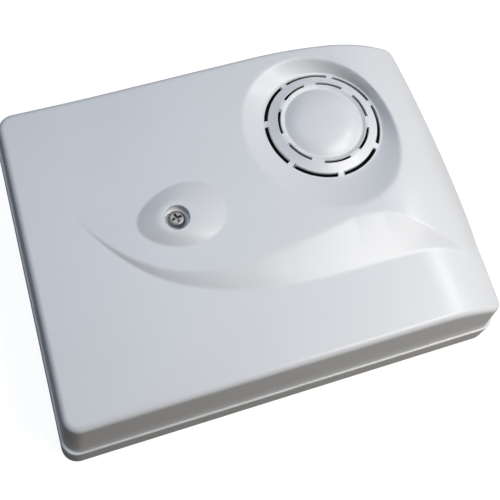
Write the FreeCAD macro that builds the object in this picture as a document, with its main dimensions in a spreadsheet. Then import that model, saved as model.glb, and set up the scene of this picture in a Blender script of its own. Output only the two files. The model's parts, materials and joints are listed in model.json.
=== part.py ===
import FreeCAD, Part
import Sketcher
import math
import os
import re

# Indoor alarm siren: back box, sculpted front cover and everything between them.
# Millimetres. X runs along the box, Y up the cover as mounted, Z out of the wall.
# The origin is the middle of the back face, which lies on the wall at Z = 0.

os.makedirs("parts", exist_ok=True)
doc = FreeCAD.newDocument("alarm_siren")
Vector = FreeCAD.Vector

# Driving dimensions

SIZES = {
    # plan of the back box
    "box_length": 180.0,          # left side to the two right corners
    "box_width": 143.5,
    "right_bow": 6.1,             # how far the right side bulges past its corners
    "top_fall": 10.0,             # how far the curved top edge drops at the right corner
    "top_straight": 115.5,        # straight part of the top edge, from the left side
    "left_round": 6.5,
    "right_round": 8.0,
    # back box
    "plate_thickness": 2.5,
    "rim_height": 10.0,
    "rim_inset": 1.4,             # how far the rim's outside leans in
    "rim_width": 0.9,
    "rim_edge_round": 0.5,
    "lip_clearance": 0.2,
    # front cover
    "face_height": 30.0,
    "cover_wall": 2.4,
    "front_inset": 7.0,           # inset of each wall at the height of the face
    "left_inset": 5.4,
    "top_inset": 6.9,
    "right_inset": 3.5,
    "face_edge_round": 2.6,
    "wave_rise": 6.2,             # upper field above the lower field where the roll starts
    "wave_start": 28.0,           # from the left side
    "roll_radius": 55.0,
    "roll_front": 42.3,           # from the right corners to the start of the upper field's rolled
    "roll_top": 30.0,             # end, along the front side and along the top
    "low_roll_front": 30.0,       # the same for the lower field
    "low_roll_top": 28.0,
    "ramp_slope": 0.29,
    "ramp_back": 6.0,             # the ramp's surface runs on this far in front of its lower crease
    "ramp_ahead": 40.0,           # and this far behind it
    # dish with the sound slots
    "dish_right": 48.1,           # from the right corners
    "dish_top": 49.6,             # from the top edge
    "dish_long": 36.1,
    "dish_short": 31.2,
    "dish_turn": -73.6,
    "dish_rim_drop": 1.6,         # of the oval rim below the top of the upper field
    "dish_flare": 2.6,
    "dish_overshoot": 3.2,
    "grille_right": 44.7,
    "grille_top": 44.8,
    "grille_floor_radius": 25.4,
    "grille_floor_height": 29.8,
    "outer_slot_radius": 23.9,
    "inner_slot_radius": 18.7,
    "outer_slot_width": 1.5,
    "inner_slot_width": 1.1,
    "band_step": 0.6,             # inner edge of the outer slots above their outer edge
    "band_rise": 2.4,
    "dome_radius": 16.2,
    "dome_rise": 2.6,
    "groove_drop": 0.9,
    "groove_wall": 0.5,
    "lip_width": 0.3,
    "slot_count": 7,
    "outer_slot_span": 45.0,
    "inner_slot_span": 35.0,
    "slot_turn": 62.3,
    # raised boss round the cover screw
    "boss_left": 66.5,
    "boss_top": 69.5,             # from the top edge
    "boss_long": 17.9,
    "boss_short": 13.1,
    "boss_rise": 3.0,
    "boss_root": 1.2,             # how far the boss reaches down into the cover's wall
    "boss_flat_radius": 5.8,
    "screw_left": 63.9,
    "screw_top": 70.8,
    "screw_hole_radius": 5.0,
    "screw_seat_rise": 1.7,       # seat of the screw's head above the lower field
    "screw_pad": 0.5,
    "screw_shank_hole": 2.0,
    "screw_head_radius": 3.4,
    "screw_head_height": 2.5,
    "screw_shank_radius": 1.75,
    "screw_shank_length": 14.0,
    "screw_cross_width": 1.0,
    "screw_cross_reach": 3.9,
    "screw_cross_depth": 1.5,
    "screw_pilot_radius": 1.8,
    "screw_pillar_radius": 4.6,
    "screw_pillar_gap": 0.3,
    # wall fixing
    "fixing_left": 11.5,          # hole centres from the left side
    "fixing_right": 11.0,         # from the right corners
    "fixing_low": 15.0,           # from the front side
    "fixing_high": 22.5,          # from the top edge
    "fixing_hole_radius": 2.25,
    "fixing_boss_radius": 5.0,
    "fixing_boss_height": 4.0,
    "web_wall": 1.4,
    "web_reach": 8.5,
    "cable_right": 47.0,
    "cable_front": 26.0,
    "cable_length": 26.0,
    "cable_width": 14.0,
    "cable_rib": 1.4,
    # loudspeaker, from its flange down to its yoke
    "speaker_radius": 28.5,
    "flange_width": 3.5,
    "basket_sheet": 0.8,
    "basket_depth": 6.5,
    "basket_floor_radius": 16.0,
    "gasket_thickness": 1.2,
    "cloth_thickness": 0.5,
    "magnet_radius": 16.0,
    "magnet_bore": 8.4,
    "magnet_thickness": 5.0,
    "top_plate_thickness": 1.6,
    "top_plate_radius": 14.0,
    "yoke_thickness": 1.8,
    "pole_radius": 6.9,
    "coil_inner_radius": 7.2,
    "coil_wall": 0.7,
    "coil_length": 7.0,
    "cone_sheet": 0.4,
    "dome_height": 3.0,
    # circuit board
    "board_left": 20.0,
    "board_front": 8.5,
    "board_length": 100.0,
    "board_width": 43.0,
    "board_thickness": 1.6,
    "board_height": 6.5,          # underside of the board above the wall
    "board_hole_radius": 1.6,
    "board_hole_inset": 4.0,
    "post_radius": 3.2,
    # battery pack
    "battery_left": 20.0,
    "battery_top": 9.9,           # from the top edge
    "cell_radius": 7.2,
    "cell_length": 50.0,
    "cell_count": 5,
    "sleeve": 0.4,
    "strap_reach": 4.2,           # from the pack's end to the middle of a strap screw
    "strap_thickness": 0.8,
    "strap_width": 12.0,
    "cradle_gap": 0.3,
    "cradle_wall": 1.6,
    "cradle_height": 7.0,
    "cradle_tab": 14.0,
    "cradle_inset": 10.0,         # of the tabs from the pack's corners, along the box
    "cradle_end_inset": 4.0,      # and across it
    # small screws
    "small_head_radius": 2.6,
    "small_head_height": 1.6,
    "small_shank_radius": 0.9,
    "small_pilot_radius": 1.0,
    "small_pilot_depth": 5.5,
    "small_shank_length": 5.0,    # in its post, past what it holds
    "clip_thickness": 1.0,
    "clip_pilot_depth": 4.0,
    "clip_shank_length": 3.6,
    "clip_width": 6.0,
    "clip_overlap": 2.3,          # of the clip under the flange
    "clip_post_radius": 3.0,
    "clip_post_gap": 0.4,
    # on the board, from the board's left and front edges
    "terminal_inset": 8.0,        # from the board's right end
    "terminal_y": 8.0,
    "terminal_width": 8.0,
    "terminal_pitch": 5.0,
    "terminal_count": 6,
    "terminal_height": 10.0,
    "terminal_well_radius": 1.9,
    "terminal_well_depth": 4.0,
    "terminal_screw_radius": 1.7,
    "terminal_screw_height": 2.0,
    "wire_entry": 3.2,
    "wire_entry_depth": 5.5,
    "supply_cap_x": 14.0,
    "supply_cap_y": 29.0,
    "supply_cap_radius": 6.3,
    "supply_cap_height": 16.0,
    "small_cap_x": 27.0,
    "small_cap_y": 8.0,
    "small_cap_radius": 3.15,
    "small_cap_height": 11.0,
    "small_cap_pitch": 8.5,
    "small_cap_count": 2,
    "can_edge": 0.6,
    "sink_x": 44.0,
    "sink_y": 31.0,
    "sink_length": 20.0,
    "sink_depth": 8.0,
    "sink_height": 14.0,
    "sink_sheet": 1.2,
    "transistor_width": 10.0,
    "transistor_tab": 1.3,
    "transistor_depth": 4.4,
    "transistor_lift": 2.0,
    "transistor_body": 8.5,
    "chip_x": 52.0,
    "chip_y": 17.0,
    "chip_length": 19.3,
    "chip_width": 6.4,
    "chip_height": 3.3,
    "chip_lift": 0.6,
    "chip_pins": 7,               # on each side
    "chip_pitch": 2.54,
    "chip_row": 7.62,             # between the two rows of pins
    "pin_width": 0.6,
    "crystal_x": 49.0,
    "crystal_y": 7.0,
    "crystal_length": 10.6,
    "crystal_width": 4.4,
    "crystal_height": 3.6,
    "diode_x": 23.5,
    "diode_y": 18.0,
    "diode_pitch": 4.2,
    "diode_count": 4,
    "diode_radius": 1.35,
    "diode_length": 5.2,
    "resistor_x": 36.0,
    "resistor_y": 33.0,
    "resistor_pitch": 3.4,
    "resistor_count": 2,
    "resistor_radius": 1.1,
    "resistor_length": 6.3,
    "lead_width": 0.6,
    "lead_reach": 2.2,            # of each wire past the end of its body
    "lead_lift": 2.0,             # of the body's axis above the board
    "header_x": 36.0,
    "header_y": 10.0,
    "header_columns": 4,
    "header_pitch": 2.54,
    "header_base_height": 2.5,
    "header_pin": 8.5,
    "link_gap": 0.1,
    "link_wall": 0.7,
    "speaker_socket_x": 65.5,
    "battery_socket_x": 27.0,
    "socket_y": 36.5,
    "socket_length": 7.4,
    "socket_width": 5.8,
    "socket_height": 7.0,
    "socket_wall": 0.8,
    "socket_pitch": 2.5,
    "tamper_inset": 25.0,         # plunger's axis from the board's right end
    "tamper_y": 9.5,
    "tamper_side": 8.0,
    "tamper_height": 6.0,
    "tamper_bore": 2.5,
    "tamper_stem": 1.3,
    "tamper_cap": 2.9,
    "tamper_cap_height": 1.2,
}

sheet = doc.addObject("Spreadsheet::Sheet", "Sizes")
for row, (alias, value) in enumerate(SIZES.items(), start=1):
    sheet.set("A%d" % row, alias)
    sheet.set("B%d" % row, str(value))
    sheet.setAlias("B%d" % row, alias)
doc.recompute()


def size(alias):
    return float(sheet.get(alias))


def formula(words):
    """A sheet expression: every word that is an alias gets the sheet's name before it."""

    def spelled(match):
        word = match.group(0)
        return "Sizes." + word if word in SIZES else word

    return re.sub(r"[a-z][a-z_]+", spelled, words)


# Plan of the box: a straight front and left side, a top edge that curves down towards the
# right, and a slightly bulged right side

X_LEFT = -(size("box_length") + size("right_bow")) / 2
Y_FRONT = -size("box_width") / 2
SKIRT_INSET = size("rim_inset") + size("rim_width") + size("lip_clearance")
TOP_ARC = (size("box_length") - size("top_straight"), size("top_fall"))
TOP_ARC_RADIUS = (TOP_ARC[0] ** 2 + TOP_ARC[1] ** 2) / (2 * TOP_ARC[1])
SIDE_ARC_RADIUS = ((size("box_width") / 2) ** 2 + size("right_bow") ** 2) / (2 * size("right_bow"))
TOP_ARC_CENTRE = (X_LEFT + size("top_straight"), -Y_FRONT - TOP_ARC_RADIUS)
SIDE_ARC_CENTRE = (-X_LEFT - SIDE_ARC_RADIUS, 0.0)


def from_left(distance):
    return X_LEFT + distance


def from_front(distance):
    return Y_FRONT + distance


def from_right(distance):
    return X_LEFT + size("box_length") - distance


def from_top(distance):
    return -Y_FRONT - distance


def crossing(first, first_radius, second, second_radius):
    """The right-hand crossing of two circles."""
    dx, dy = second[0] - first[0], second[1] - first[1]
    gap = math.hypot(dx, dy)
    along = (first_radius ** 2 - second_radius ** 2 + gap ** 2) / (2 * gap)
    across = math.sqrt(first_radius ** 2 - along ** 2)
    foot = (first[0] + along * dx / gap, first[1] + along * dy / gap)
    ends = [(foot[0] + s * across * dy / gap, foot[1] - s * across * dx / gap) for s in (1, -1)]
    return max(ends, key=lambda p: p[0])


def toward(centre, point, radius):
    """The point at radius from centre on the line through another point."""
    dx, dy = point[0] - centre[0], point[1] - centre[1]
    reach = math.hypot(dx, dy)
    return (centre[0] + radius * dx / reach, centre[1] + radius * dy / reach)


def arc_through(centre, radius, start, end, height):
    """The short arc about a centre between two points on it."""
    middle = toward(centre, ((start[0] + end[0]) / 2, (start[1] + end[1]) / 2), radius)
    return Part.Arc(Vector(*start, height), Vector(*middle, height), Vector(*end, height)).toShape()


def plan_wire(insets, height, left_round, right_round):
    """The plan outline, moved in from each side by its own inset."""
    left, front, top, right = insets
    x_low, y_low, y_high = X_LEFT + left, Y_FRONT + front, -Y_FRONT - top
    top_radius = TOP_ARC_RADIUS - top
    side_radius = SIDE_ARC_RADIUS - right
    high = crossing(TOP_ARC_CENTRE, top_radius - right_round, SIDE_ARC_CENTRE, side_radius - right_round)
    low_y = y_low + right_round
    low_reach = math.sqrt((side_radius - right_round) ** 2 - (low_y - SIDE_ARC_CENTRE[1]) ** 2)
    low = (SIDE_ARC_CENTRE[0] + low_reach, low_y)
    near = (x_low + left_round, y_low + left_round)
    far = (x_low + left_round, y_high - left_round)
    straight_end = (TOP_ARC_CENTRE[0], y_high)
    high_start = toward(TOP_ARC_CENTRE, high, top_radius)
    high_end = toward(SIDE_ARC_CENTRE, high, side_radius)
    low_start = toward(SIDE_ARC_CENTRE, low, side_radius)
    low_end = (low[0], y_low)
    near_start, near_end = (near[0], y_low), (x_low, near[1])
    far_start, far_end = (x_low, far[1]), (far[0], y_high)

    def line(start, end):
        return Part.makeLine(Vector(*start, height), Vector(*end, height))

    return Part.Wire([
        line(far_end, straight_end),
        arc_through(TOP_ARC_CENTRE, top_radius, straight_end, high_start, height),
        arc_through(high, right_round, high_start, high_end, height),
        arc_through(SIDE_ARC_CENTRE, side_radius, high_end, low_start, height),
        arc_through(low, right_round, low_start, low_end, height),
        line(low_end, near_start),
        arc_through(near, left_round, near_start, near_end, height),
        line(near_end, far_start),
        arc_through(far, left_round, far_start, far_end, height),
    ])


# The cover's outer and inner forms come from the same functions: the inner one is moved in by the
# wall and down by the wall

FORM_TOP = size("face_height") + size("wave_rise") + 3 * size("boss_rise")
FUSE_TOLERANCE = 0.01             # the two halves of the face share their walls
ROUND_SHRINK = 0.8                # how much of a wall's inset its right corners lose in radius


def leaned(side, height):
    climb = (height - size("rim_height")) / (size("face_height") - size("rim_height"))
    return SKIRT_INSET + max(climb, 0.0) * (size(side + "_inset") - SKIRT_INSET)


def walls(shrink, foot):
    wires = []
    for height in (foot, size("rim_height"), FORM_TOP):
        insets = [leaned(side, height) + shrink for side in ("left", "front", "top", "right")]
        right_round = size("right_round") - ROUND_SHRINK * leaned("right", height) - shrink
        wires.append(plan_wire(insets, height, size("left_round") - shrink, right_round))
    return Part.makeLoft(wires, True, True)


REACH = 2 * size("box_length")    # further than any edge of the box
ROLL_END = math.radians(60.0)


def over_field(rise, low_start, high_start, drop):
    """Everything above a field of the face: flat, then a gentle climb, then the rolled end."""
    base = size("face_height") - drop
    lean = (low_start - high_start) / size("box_width")
    begin = from_right(low_start)
    climb_start = from_left(size("wave_start"))
    climb = math.atan2(rise, begin - climb_start)
    radius = size("roll_radius")
    centre = Vector(begin + radius * math.sin(climb), 0, base + rise - radius * math.cos(climb))

    def rolled(turned):
        return centre + Vector(radius * math.sin(turned), 0, radius * math.cos(turned))

    corner = Vector(begin, 0, base + rise)
    end = rolled(ROLL_END)
    outer = Vector(REACH, 0, end.z - (REACH - end.x) * math.tan(ROLL_END))
    points = [Vector(-REACH, 0, REACH), Vector(-REACH, 0, base), Vector(climb_start, 0, base), corner]
    edges = [Part.makeLine(points[0], points[1])]
    if rise > 0:
        edges += [Part.makeLine(points[1], points[2]), Part.makeLine(points[2], corner)]
    else:
        edges += [Part.makeLine(points[1], corner)]
    edges.append(Part.Arc(corner, rolled((ROLL_END - climb) / 2), end).toShape())
    edges += [Part.makeLine(end, outer), Part.makeLine(outer, Vector(REACH, 0, REACH)),
              Part.makeLine(Vector(REACH, 0, REACH), points[0])]
    run = REACH
    profile = Part.Face(Part.Wire(edges))
    profile.translate(Vector(0, Y_FRONT, 0) - Vector(lean * run, run, 0))
    return profile.extrude(Vector(2 * lean * run, 2 * run, 0))


def rim_edges(solid):
    """Edges where the walls meet the face, all the way round."""
    margin = size("face_edge_round")
    left = X_LEFT + size("left_inset") + margin
    right = -X_LEFT - size("right_bow") - size("right_inset") - margin
    top = -Y_FRONT - size("top_fall") - size("top_inset") - margin
    found = []
    for edge in solid.Edges:
        middle = edge.valueAt((edge.FirstParameter + edge.LastParameter) / 2)
        high = edge.BoundBox.ZMin > size("rim_height") + FUSE_TOLERANCE
        if high and (middle.x < left or middle.x > right or abs(middle.y) > top):
            found.append(edge)
    return found


# Lower crease of the wave: from its left tip along the lower field to its right tip, as shares of
# the box's length from the left side and of its width from the front side
WAVE_LINE = [(0.111, 0.669), (0.182, 0.514), (0.282, 0.370), (0.391, 0.297), (0.511, 0.259), (0.672, 0.245),
             (0.839, 0.245), (0.922, 0.227), (0.986, 0.177), (1.056, 0.098)]
UPPER_START = (size("roll_front"), size("roll_top"))
LOWER_START = (size("low_roll_front"), size("low_roll_top"))


def lower_height(x):
    past = max(x - from_right(LOWER_START[0]), 0.0)
    radius = size("roll_radius")
    return size("face_height") - radius + math.sqrt(max(radius ** 2 - past ** 2, 0.0))


def over_ramp(drop):
    """Everything above the wave's ramp, and south of it down to the lower field."""
    slope = size("ramp_slope")
    back, ahead = size("ramp_back"), size("ramp_ahead")
    points = []
    for along, across in WAVE_LINE:
        x, y = from_left(along * size("box_length")), from_front(across * size("box_width"))
        points.append(Vector(x, y - back, lower_height(x) - drop - slope * back))
    crease = Part.BSplineCurve()
    crease.interpolate(points)
    ramp = crease.toShape().extrude(Vector(0, back + ahead, slope * (back + ahead)))
    over = ramp.extrude(Vector(0, 0, REACH / 4))
    flat = Part.BSplineCurve()
    flat.interpolate([Vector(p.x, p.y + back / 2, 0) for p in points])
    first, last = flat.toShape().Vertexes[0].Point, flat.toShape().Vertexes[-1].Point
    south = [last, Vector(REACH, last.y, 0), Vector(REACH, -REACH, 0), Vector(-REACH, -REACH, 0),
             Vector(-REACH, first.y, 0), first]
    sides = [Part.makeLine(a, b) for a, b in zip(south, south[1:])]
    region = Part.Face(Part.Wire([flat.toShape()] + sides)).extrude(Vector(0, 0, REACH / 2))
    return over, region


def cover_form(shrink, foot, rounded):
    """The cover's solid form without its dish, boss and slots."""
    body = walls(shrink, foot)
    upper = body.cut(over_field(size("wave_rise"), *UPPER_START, shrink))
    lower = body.cut(over_field(0.0, *LOWER_START, shrink))
    if rounded:
        upper = upper.makeFillet(size("face_edge_round"), rim_edges(upper))
        lower = lower.makeFillet(size("face_edge_round"), rim_edges(lower))
    over, south = over_ramp(shrink)
    return upper.cut(over).cut(south).fuse(lower, FUSE_TOLERANCE)


# Dish round the sound slots

GRILLE = (from_right(size("grille_right")), from_top(size("grille_top")))
GRILLE_UNDERSIDE = size("grille_floor_height") - size("cover_wall")


def oval(long_half, short_half, height, centre, turn):
    """A closed oval edge whose seam lies on its long axis."""
    edge = Part.Ellipse(Vector(0, 0, 0), long_half, short_half).toShape()
    edge.rotate(Vector(0, 0, 0), Vector(0, 0, 1), turn)
    edge.translate(Vector(*centre, height))
    return Part.Wire([edge])


def dish_form(grow, drop, domed):
    """The dish as a solid: a bowl that opens upwards, less the banded island in its middle."""
    floor = size("grille_floor_height") - drop
    rim = size("face_height") + size("wave_rise") - size("dish_rim_drop") - drop
    centre = (from_right(size("dish_right")), from_top(size("dish_top")))
    turn = size("dish_turn")
    bottom = size("grille_floor_radius") + grow
    share, climb = 0.62, 0.42     # how far out the bowl's bend lies, and how high
    flare, overshoot = size("dish_flare"), size("dish_overshoot")
    long_rim, short_rim = size("dish_long") + grow, size("dish_short") + grow
    mix = [GRILLE[i] + share * (centre[i] - GRILLE[i]) for i in (0, 1)]
    sections = [
        oval(bottom + FUSE_TOLERANCE, bottom, floor, GRILLE, turn),
        oval(bottom + share * (long_rim - bottom), bottom + share * (short_rim - bottom),
             floor + climb * (rim - floor), mix, turn),
        oval(long_rim, short_rim, rim, centre, turn),
        oval(long_rim + flare, short_rim + flare, rim + overshoot, centre, turn),
    ]
    bowl = Part.makeLoft(sections, True, True)
    band = floor + size("band_rise")
    groove = band - size("groove_drop")
    inner_edge = size("outer_slot_radius") - size("outer_slot_width") / 2
    ridge = size("inner_slot_radius") + size("inner_slot_width") / 2
    lip = size("inner_slot_radius") - size("inner_slot_width") / 2 - size("lip_width")
    dome = size("dome_radius")
    top = groove + size("dome_rise")
    below = floor - size("band_rise")

    def at(radius, height):
        return Vector(radius, 0, height)

    points = [at(0, below), at(inner_edge, below), at(inner_edge, floor + size("band_step")), at(ridge, band)]
    if domed:
        points += [at(lip, band), at(dome + size("groove_wall"), groove), at(dome, groove)]
    else:
        points += [at(0, band), at(0, below)]
    edges = [Part.makeLine(a, b) for a, b in zip(points, points[1:])]
    if domed:
        ball = (dome ** 2 + size("dome_rise") ** 2) / (2 * size("dome_rise"))
        half_turn = math.asin(dome / ball) / 2
        shoulder = at(ball * math.sin(half_turn), top - ball + ball * math.cos(half_turn))
        edges.append(Part.Arc(at(dome, groove), shoulder, at(0, top)).toShape())
        edges.append(Part.makeLine(at(0, top), at(0, below)))
    island = Part.Face(Part.Wire(edges)).revolve(Vector(0, 0, 0), Vector(0, 0, 1), 360)
    island.translate(Vector(*GRILLE, 0))
    return bowl.cut(island)


def slot_ring(ring, first_turn):
    """One ring of sound slots, right through the grille."""
    radius, width, span = size(ring + "_slot_radius"), size(ring + "_slot_width"), size(ring + "_slot_span")
    count = int(size("slot_count"))
    bottom = GRILLE_UNDERSIDE - size("band_rise")
    deep = size("cover_wall") + 3 * size("band_rise")
    place = Vector(*GRILLE, bottom)
    up = Vector(0, 0, 1)
    core = Part.makeCylinder(radius - width / 2, deep, place, up)
    slots = []
    for index in range(count):
        wedge = Part.makeCylinder(radius + width / 2, deep, place, up, span)
        wedge.rotate(place, up, first_turn + index * 360 / count)
        slots.append(wedge.cut(core))
    return slots


# Raised boss round the cover screw

SCREW = (from_left(size("screw_left")), from_top(size("screw_top")))
BOSS = (from_left(size("boss_left")), from_top(size("boss_top")))
SCREW_SEAT = size("face_height") + size("screw_seat_rise")
PAD_LOW = SCREW_SEAT - size("cover_wall") - size("screw_pad")


def boss_form():
    """The boss as a solid that sits on the inclined upper field."""
    start = from_right(UPPER_START[0])
    lean = (UPPER_START[0] - UPPER_START[1]) / size("box_width")
    climb = size("wave_rise") / (start - from_left(size("wave_start")))
    foot = BOSS[0] - lean * (BOSS[1] - Y_FRONT)
    field = size("face_height") + climb * (foot - from_left(size("wave_start")))
    rise, root, flat = size("boss_rise"), size("boss_root"), size("boss_flat_radius")
    long_half, short_half = size("boss_long"), size("boss_short")
    spread = root * (short_half - flat) / rise
    share, level = 0.5, 0.6       # where the flank bends, across and up
    middle = [BOSS[i] + share * (SCREW[i] - BOSS[i]) for i in (0, 1)]
    sections = [
        oval(long_half + spread, short_half + spread, field - root, BOSS, 0),
        oval(long_half, short_half, field, BOSS, 0),
        oval(long_half + share * (flat - long_half), short_half + share * (flat - short_half),
             field + level * rise, middle, 0),
        oval(flat + FUSE_TOLERANCE, flat, field + rise, SCREW, 0),
    ]
    boss = Part.makeLoft(sections, True, True)
    boss.rotate(Vector(*BOSS, field), Vector(lean, 1, 0), -math.degrees(math.atan(climb)))
    return boss


# Levels of the stack behind the grille, from the cover down

CLOTH_LOW = GRILLE_UNDERSIDE - size("cloth_thickness")
GASKET_LOW = CLOTH_LOW - size("gasket_thickness")
FLANGE_TOP = GASKET_LOW - size("cone_sheet")
CLIP_ANGLES = (30.0, 150.0, 270.0)
CLIP_POST_REACH = size("speaker_radius") + size("clip_post_radius") + size("clip_post_gap")
CLIP_LEVEL = FLANGE_TOP - size("basket_sheet")


def around_grille(radius, degrees, height):
    angle = math.radians(degrees)
    return Vector(GRILLE[0] + radius * math.cos(angle), GRILLE[1] + radius * math.sin(angle), height)


def front_cover():
    wall = size("cover_wall")
    foot = size("plate_thickness")
    cover = cover_form(0.0, foot, True).cut(dish_form(0.0, 0.0, True)).fuse(boss_form())
    hollow = cover_form(wall, foot / 2, False).cut(dish_form(0.6 * wall, wall, False))
    half = cover_form(wall / 2, foot / 2, False).cut(dish_form(0.3 * wall, wall / 2, False))
    cover = cover.cut(hollow)
    for degrees in CLIP_ANGLES:
        place = around_grille(CLIP_POST_REACH, degrees, CLIP_LEVEL)
        post = Part.makeCylinder(size("clip_post_radius"), REACH, place)
        cover = cover.fuse(post.common(half))
    pad = Part.makeCylinder(size("screw_hole_radius") + wall, REACH, Vector(*SCREW, PAD_LOW))
    cover = cover.fuse(pad.common(half))
    cuts = slot_ring("outer", size("slot_turn") - 180 / size("slot_count") - size("outer_slot_span") / 2)
    cuts += slot_ring("inner", size("slot_turn") - size("inner_slot_span") / 2)
    cuts.append(Part.makeCylinder(size("screw_hole_radius"), REACH, Vector(*SCREW, SCREW_SEAT)))
    cuts.append(Part.makeCylinder(size("screw_shank_hole"), REACH, Vector(*SCREW, 0)))
    for degrees in CLIP_ANGLES:
        start = around_grille(CLIP_POST_REACH, degrees, CLIP_LEVEL)
        cuts.append(Part.makeCylinder(size("small_pilot_radius"), size("clip_pilot_depth"), start))
    for tool in cuts:
        cover = cover.cut(tool)
    return cover


# Back box

BOARD = (from_left(size("board_left")), from_front(size("board_front")))
BOARD_TOP = size("board_height") + size("board_thickness")
BATTERY_WIDTH = size("cell_length") + 2 * size("sleeve")
BATTERY_LENGTH = size("cell_count") * 2 * size("cell_radius") + 2 * size("sleeve")
BATTERY = (from_left(size("battery_left")), from_top(size("battery_top")) - BATTERY_WIDTH)
STRAP_SEAT = size("plate_thickness") + 2 * (size("cell_radius") + size("sleeve"))
STRAP_REACH = size("strap_reach")
STRAP_HOLES = [(BATTERY[0] - STRAP_REACH, BATTERY[1] + BATTERY_WIDTH / 2),
               (BATTERY[0] + BATTERY_LENGTH + STRAP_REACH, BATTERY[1] + BATTERY_WIDTH / 2)]
FIXINGS = [(x, y) for x in (from_left(size("fixing_left")), from_right(size("fixing_right")))
           for y in (from_front(size("fixing_low")), from_top(size("fixing_high")))]


def board_corners():
    inset = size("board_hole_inset")
    return [(BOARD[0] + x, BOARD[1] + y) for x in (inset, size("board_length") - inset)
            for y in (inset, size("board_width") - inset)]


def back_box():
    plate, rim = size("plate_thickness"), size("rim_height")
    draft = size("rim_inset")
    left_round, right_round = size("left_round"), size("right_round")
    wires = [plan_wire([0.0] * 4, 0.0, left_round, right_round),
             plan_wire([draft] * 4, rim, left_round, right_round - draft)]
    shell = Part.makeLoft(wires, True, True)
    crown = [e for e in shell.Edges if e.BoundBox.ZMin > rim - 0.01]
    shell = shell.makeFillet(size("rim_edge_round"), crown)
    inset = draft + size("rim_width")
    hollow_wire = plan_wire([inset] * 4, plate, left_round, right_round - ROUND_SHRINK * inset)
    shell = shell.cut(Part.Face(hollow_wire).extrude(Vector(0, 0, rim)))
    up = Vector(0, 0, 1)
    added = []
    for x, y in board_corners():
        added.append(Part.makeCylinder(size("post_radius"), size("board_height"), Vector(x, y, 0), up))
    for x, y in FIXINGS:
        boss_top = plate + size("fixing_boss_height")
        added.append(Part.makeCylinder(size("fixing_boss_radius"), boss_top, Vector(x, y, 0), up))
    pillar_top = PAD_LOW - size("screw_pillar_gap")
    added.append(Part.makeCylinder(size("screw_pillar_radius"), pillar_top, Vector(*SCREW, 0), up))
    web_wall = size("web_wall")
    for turn in (0, 180):
        corners = [Vector(0, 0, 0), Vector(size("web_reach"), 0, 0), Vector(0, 0, 0.6 * pillar_top)]
        web = Part.Face(Part.makePolygon(corners + corners[:1])).extrude(Vector(0, web_wall, 0))
        web.translate(Vector(SCREW[0], SCREW[1] - web_wall / 2, 0))
        web.rotate(Vector(*SCREW, 0), up, turn)
        added.append(web)
    wall, cradle_top, gap = size("cradle_wall"), plate + size("cradle_height"), size("cradle_gap")
    tab, tab_inset, end_inset = size("cradle_tab"), size("cradle_inset"), size("cradle_end_inset")
    for x in (BATTERY[0] - gap - wall, BATTERY[0] + BATTERY_LENGTH + gap):
        for y in (BATTERY[1] + end_inset, BATTERY[1] + BATTERY_WIDTH - end_inset - tab):
            added.append(Part.makeBox(wall, tab, cradle_top, Vector(x, y, 0)))
    for y in (BATTERY[1] - gap - wall, BATTERY[1] + BATTERY_WIDTH + gap):
        for x in (BATTERY[0] + tab_inset, BATTERY[0] + BATTERY_LENGTH - tab_inset - tab):
            added.append(Part.makeBox(tab, wall, cradle_top, Vector(x, y, 0)))
    for x, y in STRAP_HOLES:
        added.append(Part.makeCylinder(size("post_radius"), STRAP_SEAT, Vector(x, y, 0), up))
    cable_x, cable_y = from_right(size("cable_right")), from_front(size("cable_front"))
    half_l, half_w = size("cable_length") / 2, size("cable_width") / 2
    border = size("cable_rib")
    added.append(Part.makeBox(2 * (half_l + border), 2 * (half_w + border), plate + border,
                              Vector(cable_x - half_l - border, cable_y - half_w - border, 0)))
    for solid in added:
        shell = shell.fuse(solid)
    cuts = [Part.makeBox(2 * half_l, 2 * half_w, REACH, Vector(cable_x - half_l, cable_y - half_w, -plate))]
    for x, y in FIXINGS:
        cuts.append(Part.makeCylinder(size("fixing_hole_radius"), REACH, Vector(x, y, -plate), up))
    pilot_depth = size("screw_shank_length")
    cuts.append(Part.makeCylinder(size("screw_pilot_radius"), pilot_depth,
                                  Vector(*SCREW, pillar_top - pilot_depth), up))
    pilot, depth = size("small_pilot_radius"), size("small_pilot_depth")
    for x, y in board_corners():
        cuts.append(Part.makeCylinder(pilot, depth, Vector(x, y, size("board_height") - depth), up))
    for x, y in STRAP_HOLES:
        cuts.append(Part.makeCylinder(pilot, depth, Vector(x, y, STRAP_SEAT - depth), up))
    for tool in cuts:
        shell = shell.cut(tool)
    return shell


# Helpers for the pieces whose sizes and places are bound to the sheet

LEFT = "-(box_length + right_bow) / 2 + "
RIGHT = "(box_length - right_bow) / 2 - "
FRONT = "-box_width / 2 + "
TOP = "box_width / 2 - "
BOARD_X = LEFT + "board_left + "
BOARD_Y = FRONT + "board_front + "
BOARD_Z = "board_height + board_thickness"
probe = doc.addObject("App::FeaturePython", "Probe")
probe.addProperty("App::PropertyFloat", "Result")
NODES = {}


def named(kind, label):
    thing = doc.addObject(kind, label)
    thing.Label = label
    return thing


def sized(thing, **sizes):
    for name, words in sizes.items():
        thing.setExpression(name, formula(words))
    return thing


def placed(thing, x, y, z):
    for axis, words in (("x", x), ("y", y), ("z", z)):
        thing.setExpression("Placement.Base." + axis, formula(words))
    return thing


def worth(words):
    """The present value of a sheet formula."""
    probe.setExpression("Result", formula(words))
    doc.recompute([probe])
    return probe.Result


def block(label, length, width, height, x, y, z):
    return placed(sized(named("Part::Box", label), Length=length, Width=width, Height=height), x, y, z)


def rod(label, radius, height, x, y, z, turned=None):
    thing = sized(named("Part::Cylinder", label), Radius=radius, Height=height)
    if turned:
        thing.Placement = FreeCAD.Placement(Vector(0, 0, 0), FreeCAD.Rotation(turned, 90))
    return placed(thing, x, y, z)


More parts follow.
